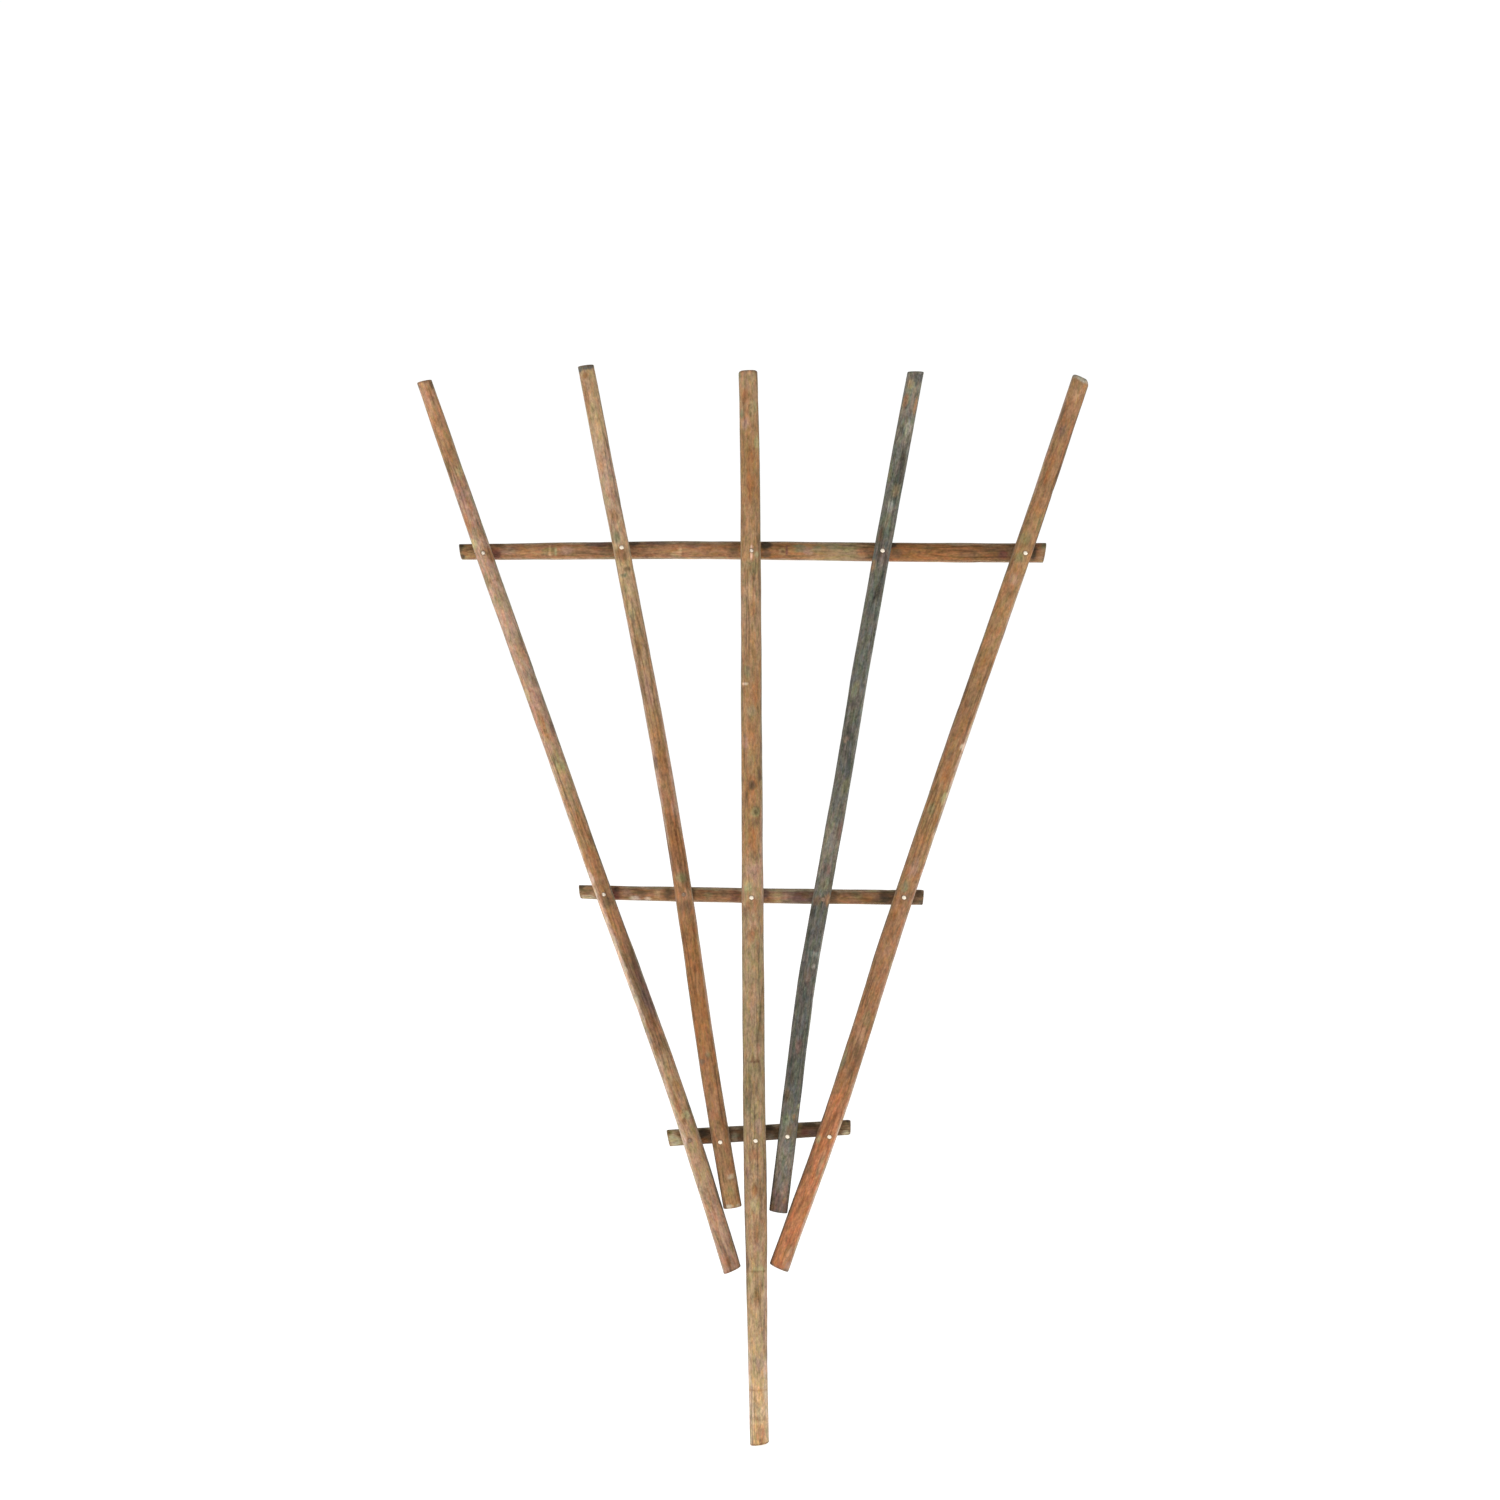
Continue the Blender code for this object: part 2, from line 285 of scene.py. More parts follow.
# %% Soft lights
LIGHT_SIDE = 2.4
LIGHT_FORWARD = 1.2
LIGHT_HEIGHT = 0.35
LIGHT_WIDTH = 1.2
LIGHT_TALL = 0.7
LEFT_WATTS = 26
RIGHT_WATTS = 16


def soft_light(name, side, watts):
    """A large rectangular light on one side, turned to face the lower part of the fan."""
    data = bpy.data.lights.new(name, "AREA")
    data.shape = "RECTANGLE"
    data.size = LIGHT_WIDTH
    data.size_y = LIGHT_TALL
    data.energy = watts
    light = bpy.data.objects.new(name, data)
    light.location = (side * LIGHT_SIDE, -LIGHT_FORWARD, LIGHT_HEIGHT)
    towards = Vector((0, 0, LIGHT_HEIGHT)) - light.location
    light.rotation_euler = towards.to_track_quat("-Z", "Y").to_euler()
    bpy.context.scene.collection.objects.link(light)
    print(name, "light:", watts, "watts")


soft_light("left_low", -1, LEFT_WATTS)
soft_light("right_low", 1, RIGHT_WATTS)

# %% [markdown]
# ## Feeling out a stick
#
# The plain solids are smooth round sticks, and the bark has to follow each one closely. So the
# first step is to measure them, as a blind person would: reach in from both sides and note
# where the stick is. A ray from the left and a ray from the right give its centre and its
# thickness. The first pair goes in at the depth of a guessed radius, the next at that of the
# radius it found. Two more rays, along the stick from past its end, find the saw cut and its
# slant.
#
# All the rods touch one plane with their backs, and all the crossbars touch the next plane with
# their fronts. So the thickness also says how far the centre is from that plane.

# %% Measure one stick
PROBE_STEP = 15 * MM
PROBE_MARGIN = 14 * MM
FAR_AWAY = 1.5
GUESSED_RADIUS = 10 * MM
PROBE_ROUNDS = 2
CUT_ROUNDS = 3
PAST_END = 0.2


def feel(tree, start, towards):
    """Where a ray first meets the stick."""
    return tree.ray_cast(start, towards)[0]


def evened(values):
    """A row of measurements with its small corners rounded off."""
    weights = np.array([1, 2, 3, 2, 1]) / 9
    before = values[0] + (values[0] - values[1]) * np.array([2, 1])
    after = values[-1] + (values[-1] - values[-2]) * np.array([1, 2])
    return np.convolve(np.concatenate([before, values, after]), weights, "valid")


def measure(name, along, across, depth_side):
    """A stick's centre line, radius and sawn ends.

    The depth side is -1 for a stick in front of its plane and 1 for one behind it.
    """
    tree = BVHTree.FromObject(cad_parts[name], bpy.context.evaluated_depsgraph_get())
    low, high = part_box(name)
    plane = high.y if depth_side < 0 else low.y
    first = low.dot(along) + PROBE_MARGIN
    last = high.dot(along) - PROBE_MARGIN
    places = np.linspace(first, last, round((last - first) / PROBE_STEP))
    radius = GUESSED_RADIUS
    found = []
    for place in places:
        for _ in range(PROBE_ROUNDS):
            inside = along * place + Vector((0, plane + depth_side * radius, 0))
            near = feel(tree, inside - across * FAR_AWAY, across).dot(across)
            far = feel(tree, inside + across * FAR_AWAY, -across).dot(across)
            radius = (far - near) / 2
        found.append(((near + far) / 2, radius))
    centres, radii = np.array(found).T
    slopes = np.gradient(centres, places)
    stick = {
        "along": along,
        "across": across,
        "plane": plane,
        "depth_side": depth_side,
        "places": places,
        "centres": evened(centres),
        "radii": evened(radii / np.sqrt(1 + slopes**2)),
    }
    stick["cuts"] = [saw_cut(tree, stick, -1), saw_cut(tree, stick, 1)]
    return stick


def read(stick, column, place):
    """A measurement at any place, carried on in a straight line past the last probe."""
    places = stick["places"]
    values = stick[column]
    inner = np.interp(place, places, values)
    start_slope = (values[1] - values[0]) / (places[1] - places[0])
    end_slope = (values[-1] - values[-2]) / (places[-1] - places[-2])
    inner = inner + np.minimum(place - places[0], 0) * start_slope
    return inner + np.maximum(place - places[-1], 0) * end_slope


def saw_cut(tree, stick, end):
    """(place, slant) of one sawn end, from two rays that are one radius apart.

    The slant is how much further along the end is per metre across.
    """
    along = stick["along"]
    across = stick["across"]
    place = stick["places"][0 if end < 0 else -1]
    for _ in range(CUT_ROUNDS):
        radius = float(read(stick, "radii", place))
        centre = float(read(stick, "centres", place))
        depth = Vector((0, stick["plane"] + stick["depth_side"] * radius, 0))
        hits = []
        for side in (-0.5, 0.5):
            start = across * (centre + side * radius) + depth + along * (place + end * PAST_END)
            hits.append(feel(tree, start, -end * along).dot(along))
        place = (hits[0] + hits[1]) / 2
    return place, (hits[1] - hits[0]) / radius


ROD_NAMES = [
    "upright_left_outer",
    "upright_left_inner",
    "centre_stake",
    "upright_right_inner",
    "upright_right_outer",
]
BAR_NAMES = ["crossbar_top", "crossbar_middle", "crossbar_bottom"]
sticks = {name: measure(name, UP, RIGHT, -1) for name in ROD_NAMES}
sticks.update({name: measure(name, RIGHT, UP, 1) for name in BAR_NAMES})
for name, stick in sticks.items():
    (start, _), (end, _) = stick["cuts"]
    thickness = 2 * stick["radii"] / MM
    print(f"{name}: {end - start:.3f} m, {thickness.min():.1f} to {thickness.max():.1f} mm thick")

# %% [markdown]
# ## Nails first
#
# Each nail is measured before any bark is made, because the bark is dented round its head. A
# nail is round about its own axis, so the average of its corners lies on that axis. The tip is
# its rearmost corner, and the line from the tip through the average ends at the head.

# %% Measure the nails
def nail_line(name):
    """(tip, middle of the head's face) of one nail."""
    corners = {tuple(round(c, 6) for c in corner.co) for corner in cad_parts[name].data.vertices}
    corners = [Vector(corner) for corner in corners]
    tip = max(corners, key=lambda corner: corner.y)
    balance = sum(corners, Vector()) / len(corners)
    towards_head = (balance - tip).normalized()
    length = max((corner - tip).dot(towards_head) for corner in corners)
    return tip, tip + towards_head * length


nails = {name: nail_line(name) for name in sorted(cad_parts) if name.startswith("nail_")}
lengths = [(head - tip).length / MM for tip, head in nails.values()]
print(f"{len(nails)} nails, {min(lengths):.1f} to {max(lengths):.1f} mm long")

# %% [markdown]
# ## The shape of bark
#
# A stick's skin is a grid: rings of points round the stick, one ring after another along it.
# The rings are close together where there is something small to show, such as a sawn end, a
# knot or a nail's dent, and further apart elsewhere.
#
# Every point also keeps its `grain` place: where it would be if the stick were straight. Noise
# that is read at the grain place runs along the stick however it bends, both here, where it
# moves the points, and later in the finish.

# %% Rows of points
ROW_STEP = 2.2 * MM
FINE_STEP = 0.7 * MM
FINE_REACH = 7 * MM
SIDES = 88


def rows_along(start, end, fine_places):
    """Places for the rings, closer together near the places that need it."""
    rows = [start]
    while rows[-1] < end:
        near = min(abs(rows[-1] - place) for place in [start, end, *fine_places])
        rows.append(rows[-1] + (FINE_STEP if near < FINE_REACH else ROW_STEP))
    return start + (np.array(rows) - start) * (end - start) / (rows[-1] - start)


def noise_at(grain, sizes):
    """Soft noise from -1 to 1 at grain places, in lumps of the given size along each axis."""
    spots = (grain / np.array(sizes)).reshape(-1, 3).tolist()
    return np.array([noise.noise(spot) for spot in spots]).reshape(grain.shape[:-1])


def eased(values, start, end):
    """0 before start, 1 after end, and a soft step between them."""
    share = np.clip((values - start) / (end - start), 0, 1)
    return share * share * (3 - 2 * share)


# %% [markdown]
# Bark isn't the same everywhere, and a list of marks says what is where. A mark has a place
# along the stick in millimetres, and a turn round it in degrees: 0 faces the front, 90 is the
# right of a rod or the top of a crossbar, and 180 is the back. Its reach is half its length and
# half its width, also in millimetres. The same distance serves for knots, which move the
# points, and for marks that only colour them: stains, and also painted light and shade, such
# as the shadows that the rods cast on the crossbars.

# %% Distance from a mark
def distance_from(skin, place, turn, half_length, half_width):
    """How far each point of a skin is from a mark's middle: 1 at its edge."""
    around = (skin["turns"] - math.radians(turn) + math.pi) % (2 * math.pi) - math.pi
    sideways = around * skin["radii"][:, None] / (half_width * MM)
    lengthwise = (skin["rows"][:, None] - place * MM) / (half_length * MM)
    return np.hypot(sideways, lengthwise)


# %% [markdown]
# The relief of this bark is low. A slow wander makes the section a little uneven. Long shallow
# furrows run with the grain. Fine scales lie between them. A knot is a raised collar round a
# sunken middle, and the wood is crushed into a small dent round each nail's head. Some corners
# of the sawn ends are worn round: each is given by its end, 0 or 1, its turn and its depth.
#
# A number added to the grain place reads another part of the same noise, so that two patterns
# never line up.

# %% Relief of the bark
WANDER = 0.42 * MM
WANDER_SIZE = (22 * MM, 22 * MM, 46 * MM)
FURROW_DEPTH = 0.32 * MM
FURROW_SIZE = (4.2 * MM, 4.2 * MM, 70 * MM)
FURROW_WIDTH = 0.22
FURROW_PATCH_SIZE = (16 * MM, 16 * MM, 120 * MM)
SCALE_HEIGHT = 0.09 * MM
SCALE_SIZE = (2.6 * MM, 2.6 * MM, 8 * MM)
KNOT_COLLAR = 0.75 * MM
KNOT_SINK = 0.9 * MM
KNOT_RAGGED = 0.25
KNOT_SIZE = (5 * MM, 5 * MM, 5 * MM)
DENT_DEPTH = 0.40 * MM
DENT_FLAT = 1.5 * MM
DENT_EDGE = 5.0 * MM
WORN_WIDTH = 60
WORN_LENGTH = 2.2


def furrows(grain):
    """1 in the middle of a furrow, 0 between them."""
    lines = np.abs(noise_at(grain, FURROW_SIZE))
    patches = eased(noise_at(grain + 5, FURROW_PATCH_SIZE), -0.25, 0.35)
    return (1 - eased(lines, 0, FURROW_WIDTH)) * patches


def relief(skin, knots, worn, heads):
    """How far each point stands out from the plain stick, and how hollow it is there."""
    grain = skin["grain"]
    hollow = furrows(grain)
    height = WANDER * noise_at(grain, WANDER_SIZE) - FURROW_DEPTH * hollow
    height += SCALE_HEIGHT * noise_at(grain + 9, SCALE_SIZE)
    for place, turn, half_length, half_width in knots:
        far = distance_from(skin, place, turn, half_length, half_width)
        far = far + KNOT_RAGGED * noise_at(grain + 3, KNOT_SIZE)
        height += KNOT_COLLAR * np.exp(-(((far - 1) / 0.4) ** 2))
        height -= KNOT_SINK * np.exp(-((far / 0.5) ** 2))
        hollow = np.maximum(hollow, np.exp(-((far / 0.6) ** 2)))
    for head in heads:
        gap = np.linalg.norm(skin["points"] - np.array(head), axis=-1)
        height -= DENT_DEPTH * (1 - eased(gap, DENT_FLAT, DENT_EDGE))
    for end, turn, depth in worn:
        around = np.degrees(skin["turns"]) - turn
        off_turn = np.abs((around + 180) % 360 - 180) / WORN_WIDTH
        from_end = np.abs(skin["rows"] - skin["rows"][-end])[:, None] / (depth * WORN_LENGTH * MM)
        height -= depth * MM * (1 - eased(off_turn, 0, 1)) * np.clip(1 - from_end, 0, 1) ** 2
    return height, hollow


# %% [markdown]
# The sawn ends need care, because they are slanted. Near each end, the rings are sheared until
# the last one lies in the plane of the cut. The end itself is filled with smaller and smaller
# rings, which share the ring's corners, so the stick is one closed skin.

# %% Skin of a stick
SHEAR_REACH = 24 * MM
CHAMFER = 0.5 * MM
CAP_RINGS = (0.93, 0.84, 0.72, 0.58, 0.42, 0.26, 0.12)
SAW_MARK = 0.12 * MM
SAW_MARK_SIZE = (0.9 * MM, 6 * MM, 6 * MM)


def plain_skin(stick, fine_places, offset):
    """The rings of points on the plain stick, with their grain places."""
    (start, start_slant), (end, end_slant) = stick["cuts"]
    rows = rows_along(start, end, fine_places)
    turns = np.linspace(-math.pi, math.pi, SIDES, endpoint=False)
    radii = read(stick, "radii", rows)
    centres = read(stick, "centres", rows)
    slopes = np.gradient(centres, rows)
    stretch = np.sqrt(1 + slopes**2)
    along = np.array(stick["along"])
    across = np.array(stick["across"])
    lengthwise = (along + slopes[:, None] * across) / stretch[:, None]
    sideways = (across - slopes[:, None] * along) / stretch[:, None]
    depths = stick["plane"] + stick["depth_side"] * radii
    middles = rows[:, None] * along + centres[:, None] * across
    middles = middles + depths[:, None] * np.array((0, 1, 0))
    outward = sideways[:, None] * np.sin(turns)[:, None]
    outward = outward + np.array(FRONT) * np.cos(turns)[:, None]
    points = middles[:, None] + outward * radii[:, None, None]
    off_line = radii[:, None] * np.sin(turns)
    at_start = 1 - eased(rows - start, 0, SHEAR_REACH)
    at_end = eased(rows - end, -SHEAR_REACH, 0)
    start_lean = (start_slant + slopes) / (1 - start_slant * slopes)
    end_lean = (end_slant + slopes) / (1 - end_slant * slopes)
    lean = off_line * (start_lean * at_start + end_lean * at_end)[:, None]
    points = points + lean[..., None] * lengthwise[:, None]
    travelled = np.concatenate([[0], np.cumsum(np.diff(rows) * stretch[1:])]) + offset
    grain = np.stack([off_line, radii[:, None] * np.cos(turns), travelled[:, None] + lean], axis=-1)
    return {
        "rows": rows,
        "turns": turns,
        "radii": radii,
        "outward": outward,
        "lengthwise": lengthwise,
        "points": points,
        "grain": grain,
    }


def cap(skin, end):
    """The points that fill one sawn end, from its rim to its middle, and their grain places."""
    rim = skin["points"][end]
    middle = rim.mean(0)
    rim_grain = skin["grain"][end]
    grain_middle = rim_grain.mean(0)
    outside = skin["lengthwise"][end] * (1 if end else -1)
    rings = []
    grains = []
    for share in CAP_RINGS:
        ring_grain = grain_middle + (rim_grain - grain_middle) * share
        rough = SAW_MARK * noise_at(ring_grain, SAW_MARK_SIZE)
        rings.append(middle + (rim - middle) * share + rough[:, None] * outside)
        grains.append(ring_grain)
    rings.append(middle[None])
    grains.append(grain_middle[None])
    return np.concatenate(rings), np.concatenate(grains)


def ring_faces(first, second):
    """The four-sided faces between two rings, given where each ring's corners start."""
    here = np.arange(SIDES)
    after = (here + 1) % SIDES
    return np.stack([first + here, first + after, second + after, second + here], axis=-1)


def skin_faces(row_count):
    """All faces of a stick: the wall, then both ends. Also which of them are sawn."""
    wall = np.concatenate([ring_faces(r * SIDES, (r + 1) * SIDES) for r in range(row_count - 1)])
    faces = wall.tolist()
    cap_size = len(CAP_RINGS) * SIDES + 1
    for number, rim in enumerate([0, (row_count - 1) * SIDES]):
        first = row_count * SIDES + number * cap_size
        rings = [rim] + [first + r * SIDES for r in range(len(CAP_RINGS))]
        for outer, inner in zip(rings, rings[1:]):
            quads = ring_faces(outer, inner)
            faces += (quads if number else quads[:, ::-1]).tolist()
        middle = first + len(CAP_RINGS) * SIDES
        last = rings[-1]
        for here in range(SIDES):
            pair = [last + here, last + (here + 1) % SIDES]
            faces.append([*(pair if number else pair[::-1]), middle])
    sawn = np.arange(len(faces)) >= len(wall)
    return faces, sawn


# %% [markdown]
# ## Colours of bark
#
# The eight sticks come from different trees and branches, and their barks differ. They share
# one small palette, as mixed paints do: each stick has a run of tones along its length, and
# marks over it. The colours are stored on the points, and the finish adds the fine grain.

# %% Palette
BARK = {
    "straw": (0.46, 0.31, 0.16),
    "honey": (0.52, 0.345, 0.18),
    "bare": (0.64, 0.48, 0.36),
    "sand": (0.385, 0.265, 0.145),
    "shell": (0.37, 0.25, 0.175),
    "blush": (0.50, 0.38, 0.29),
    "bone": (0.42, 0.35, 0.235),
    "stone": (0.28, 0.24, 0.17),
    "tan": (0.32, 0.205, 0.115),
    "drab": (0.285, 0.20, 0.108),
    "rose": (0.34, 0.205, 0.14),
    "apricot": (0.38, 0.215, 0.118),
    "amber": (0.29, 0.165, 0.075),
    "russet": (0.27, 0.14, 0.068),
    "ginger": (0.26, 0.118, 0.042),
    "rust": (0.38, 0.155, 0.068),
    "copper": (0.31, 0.15, 0.064),
    "umber": (0.15, 0.088, 0.045),
    "olive": (0.225, 0.18, 0.08),
    "moss": (0.19, 0.178, 0.098),
    "lichen": (0.36, 0.33, 0.17),
    "slate": (0.104, 0.096, 0.077),
    "lead": (0.126, 0.117, 0.090),
    "dust": (0.18, 0.155, 0.112),
    "ash": (0.36, 0.345, 0.28),
    "plum": (0.145, 0.088, 0.068),
    "wine": (0.16, 0.062, 0.042),
    "char": (0.055, 0.038, 0.023),
}
SAWN_TONE = (0.40, 0.285, 0.175)
EDGE_TURN = 88
EDGE_WIDTH = 36
MARK_STRENGTH = 1.3
RAGGED = 0.30
RAGGED_SIZE = (5 * MM, 5 * MM, 16 * MM)
FINE_RAGGED = 0.22
FINE_RAGGED_SIZE = (2 * MM, 2 * MM, 5 * MM)
END_BAND = 3.2 * MM
STAIN_STRENGTH = 0.6
STAIN_DARK = 2.2 * MM
STAIN_EDGE = 4.0 * MM
print(len(BARK), "tones of bark")


def tone_along(skin, tones):
    """The run of tones along a stick, the same all round it."""
    places = [place for place, _ in tones]
    channels = zip(*[BARK[tone] for _, tone in tones])
    columns = [np.interp(skin["rows"] / MM, places, channel) for channel in channels]
    run = np.stack(columns, axis=-1)
    return np.repeat(run[:, None], SIDES, axis=1)


def blend(colour, tone, cover):
    """The colour of each point, moved towards one tone by a share from 0 to 1."""
    return colour + (np.array(BARK[tone]) - colour) * np.clip(cover, 0, 1)[..., None]


def paint(skin, tones, marks, edge, ends, heads):
    """The colour of each point: tones, the sides' band, marks, the sawn ends and nail stains."""
    grain = skin["grain"]
    colour = tone_along(skin, tones)
    ragged = RAGGED * noise_at(grain + 2, RAGGED_SIZE)
    ragged += FINE_RAGGED * noise_at(grain + 4, FINE_RAGGED_SIZE)
    # The sides' band turns the sides of each stick, as seen from the front, towards the edge tone. It is
    # partly the bark's own grey and lichen, and partly painted light and shade where the light grazes the
    # sides; on the crossbars it is painted light along their top and bottom edges.
    off_front = np.degrees(np.abs(skin["turns"]))[None]
    side_band = 1 - eased(np.abs(off_front - EDGE_TURN) / EDGE_WIDTH + ragged, 0.3, 1.0)
    colour = blend(colour, edge[0], side_band * edge[1])
    for place, turn, half_length, half_width, tone, strength in marks:
        far = distance_from(skin, place, turn, half_length, half_width) + ragged
        colour = blend(colour, tone, MARK_STRENGTH * strength * (1 - eased(far, 0.5, 1.25)))
    # The band at both sawn ends darkens the bark there: partly its own colour, and partly painted shade for
    # the dark line along the cut ends.
    from_end = np.abs(skin["rows"][[0, -1]][:, None] - skin["rows"]).min(0)[:, None] / END_BAND
    colour = blend(colour, ends[0], ends[1] * (1 - eased(from_end + 1.2 * ragged, 0.3, 1.0)))
    for head in heads:
        gap = np.linalg.norm(skin["points"] - np.array(head), axis=-1)
        colour = blend(colour, "umber", STAIN_STRENGTH * (1 - eased(gap, STAIN_DARK, STAIN_EDGE)))
    return colour


# %% [markdown]
# ## The bark finish
#
# The finish starts from the painted colour and adds what is too fine for the points. Narrow
# fibres run with the grain. Blotches a few millimetres wide lighten and darken it. Patches of
# an orange, a pink and an olive tone lie over each other, as they do on old bark, and the slate
# rod has blue ones too. The furrows and the sunken middles of the knots are darkened as painted
# shade, and crumbs of pale scale stick to the bark. All of it is read at the grain place, with
# each pattern stretched along the stick.
#
# Noise lies mostly between 0.3 and 0.7. The two numbers of an `ease` say where a patch begins
# and where it is full, so higher limits make a pattern rarer.

# %% Bark finish
ORANGE_GAIN = (1.25, 0.86, 0.56)
PINK_GAIN = (1.14, 0.94, 1.10)
OLIVE_GAIN = (0.74, 0.94, 0.66)
BLUE_GAIN = (0.80, 0.98, 1.16)
FLECK_GAIN = (1.30, 1.34, 1.00)
BLOTCH_CONTRAST = 2.0
GRIT_CONTRAST = 1.9
FIBRE_CONTRAST = 0.9
HOLLOW_SHADE = 0.45
BARK_ROUGHNESS = 0.72


def bark_finish(name, contrast, orange, pink, olive, blue=0.0, speckle=0.2):
    """One stick's bark. The shares say how strong each kind of pattern is."""
    material = bpy.data.materials.new(name)
    bench = Bench(material)
    grain = bench.painted("grain", "Vector")
    tint = bench.painted("tint", "Color")
    hollow = bench.painted("hollow", "Fac")
    fibres = bench.noise(grain, (0.9 * MM, 0.9 * MM, 22 * MM), detail=4, twist=0.3)
    grit = bench.noise(grain, (1.9 * MM, 1.9 * MM, 3.4 * MM), detail=4, twist=0.3)
    blotches = bench.noise(grain, (4.2 * MM, 4.2 * MM, 11 * MM), detail=4, twist=0.5)
    crumbs = bench.noise(grain, (0.8 * MM, 0.8 * MM, 1.5 * MM), detail=3)
    aside = bench.vector("ADD", grain, (3, 5, 7))
    warm = bench.noise(grain, (4.5 * MM, 4.5 * MM, 15 * MM), detail=5, twist=0.5)
    cool = bench.noise(aside, (4 * MM, 4 * MM, 12 * MM), detail=5, twist=0.5)
    flecks = bench.noise(aside, (1.5 * MM, 1.5 * MM, 2.4 * MM), detail=2)

    colour = bench.patch(tint, ORANGE_GAIN, bench.ease(warm, 0.48, 0.62) * orange)
    colour = bench.patch(colour, PINK_GAIN, bench.ease(cool, 0.50, 0.62) * pink)
    colour = bench.patch(colour, OLIVE_GAIN, (1 - bench.ease(cool, 0.37, 0.49)) * olive)
    colour = bench.patch(colour, BLUE_GAIN, (1 - bench.ease(warm, 0.40, 0.52)) * blue)
    colour = bench.patch(colour, FLECK_GAIN, bench.ease(flecks, 0.56, 0.68) * (1.6 * speckle))
    light = 1 + (blotches - 0.5) * (BLOTCH_CONTRAST * contrast)
    light = light + (grit - 0.5) * (GRIT_CONTRAST * contrast)
    # The last factor is painted shade: it darkens the furrows and the sunken middles of the knots.
    light = (light + (fibres - 0.5) * (FIBRE_CONTRAST * contrast)) * (1 - hollow * HOLLOW_SHADE)
    colour = bench.mix(1.0, colour, light, "MULTIPLY")
    dots = bench.ease(crumbs, 0.60, 0.70) * bench.ease(blotches, 0.42, 0.6) * speckle
    colour = bench.mix(dots, colour, BARK["ash"])

    relief_height = fibres * 0.5 + grit * 0.6 + crumbs * 0.3 + blotches * 0.6
    bench.surface({
        "Base Color": colour,
        "Roughness": BARK_ROUGHNESS + (blotches - 0.5) * 0.3 + hollow * 0.15,
        "Specular IOR Level": 0.2,
        "Normal": bench.bump(relief_height, strength=0.8, distance=0.45 * MM),
    })
    return material


# %% [markdown]
# ## The sawn ends
#
# A cut across the grain shows the rings of growth round the pith, fine rays that run outward,
# and a few checks where the wood has dried. Weather turns it grey-brown. The rings are a sine
# of the distance from the pith, bent by a little noise, which is cheap and never repeats. None
# of these patterns changes along the stick, so each is endless that way.

# %% End grain finish
RING_WIDTH = 1.9 * MM
ENDLESS = 900 * MM
SAWN_ROUGHNESS = 0.80
LATE_WOOD = (0.20, 0.13, 0.072)
RAY_TONE = (0.46, 0.34, 0.22)
PORE_TONE = (0.14, 0.105, 0.07)


def sawn_finish():
    """The end grain, the same for every stick."""
    material = bpy.data.materials.new("sawn_end")
    bench = Bench(material)
    grain = bench.painted("grain", "Vector")
    flat = bench.vector("MULTIPLY", grain, (1, 1, 0))
    from_pith = bench.vector("LENGTH", flat, output="Value")
    wobble = bench.noise(grain, (7 * MM, 7 * MM, ENDLESS), detail=3)
    phase = (from_pith + wobble * (2.5 * MM)) * (2 * math.pi / RING_WIDTH)
    rings = bench.node("ShaderNodeMath", {"operation": "SINE"}, {0: phase}, 0) * 0.5 + 0.5
    rays = bench.noise(bench.vector("NORMALIZE", flat), (0.09, 0.09, 1), detail=3)
    pores = bench.noise(grain, (0.45 * MM, 0.45 * MM, ENDLESS), detail=2)
    checks = bench.node(
        "ShaderNodeTexVoronoi",
        {"feature": "DISTANCE_TO_EDGE"},
        {"Vector": bench.stretched(grain, (9 * MM, 9 * MM, ENDLESS)), "Scale": 1.0},
        "Distance",
    )
    check = 1 - bench.ease(checks, 0.0, 0.03)
    pith = 1 - bench.ease(from_pith, 0.6 * MM, 1.2 * MM)
    rim = bench.ease(from_pith, 8.4 * MM, 10.5 * MM)

    colour = bench.mix(rings * 0.6, SAWN_TONE, LATE_WOOD)
    colour = bench.mix(bench.ease(rays, 0.5, 0.7) * 0.4, colour, RAY_TONE)
    colour = bench.mix(bench.ease(pores, 0.45, 0.62) * 0.35, colour, PORE_TONE)
    colour = bench.mix(rim * 0.5, colour, BARK["umber"])
    dark = bench.node("ShaderNodeMath", {"operation": "MAXIMUM"}, {0: check * 0.9, 1: pith * 0.8}, 0)
    colour = bench.mix(dark, colour, BARK["char"])
    height = rings * 0.3 + pores * 0.4 - check
    bench.surface({
        "Base Color": colour,
        "Roughness": SAWN_ROUGHNESS + pores * 0.15,
        "Specular IOR Level": 0.25,
        "Normal": bench.bump(height, strength=0.6, distance=0.3 * MM),
    })
    return material


SAWN = sawn_finish()
print("one finish for all the sawn ends:", SAWN.name)

# %% [markdown]
# ## Making a stick
#
# Now all of it comes together. One function takes a stick's name and its description, makes
# the skin, paints it, and lets it ride on the frame in place of the plain solid. The grain
# places, the painted colours and the hollows are stored on the mesh's points under their names,
# where the finish finds them. Each stick starts at another point of the noise, so no two match.
#
# Most of the marks are listed for the front only. The back gets the same ones again, mirrored
# and moved a little along the stick, so that it is as lively and nobody has to list it twice.
# A mark near the side stays where it is. Its width is in millimetres, and one millimetre round
# a stick of usual thickness is about seven degrees.

# %% Marks for the back
BACK_SHIFT = 37
DEGREES_PER_MM = 7
SIDE_TURN = 90


def with_back(marks):
    """The marks, after a copy for the back of those that stay within the front half."""
    back = []
    for place, turn, half_length, half_width, tone, strength in marks:
        if abs(turn) + DEGREES_PER_MM * half_width < SIDE_TURN:
            back.append((place + BACK_SHIFT, 180 - turn, half_length, half_width, tone, strength))
    return back + marks


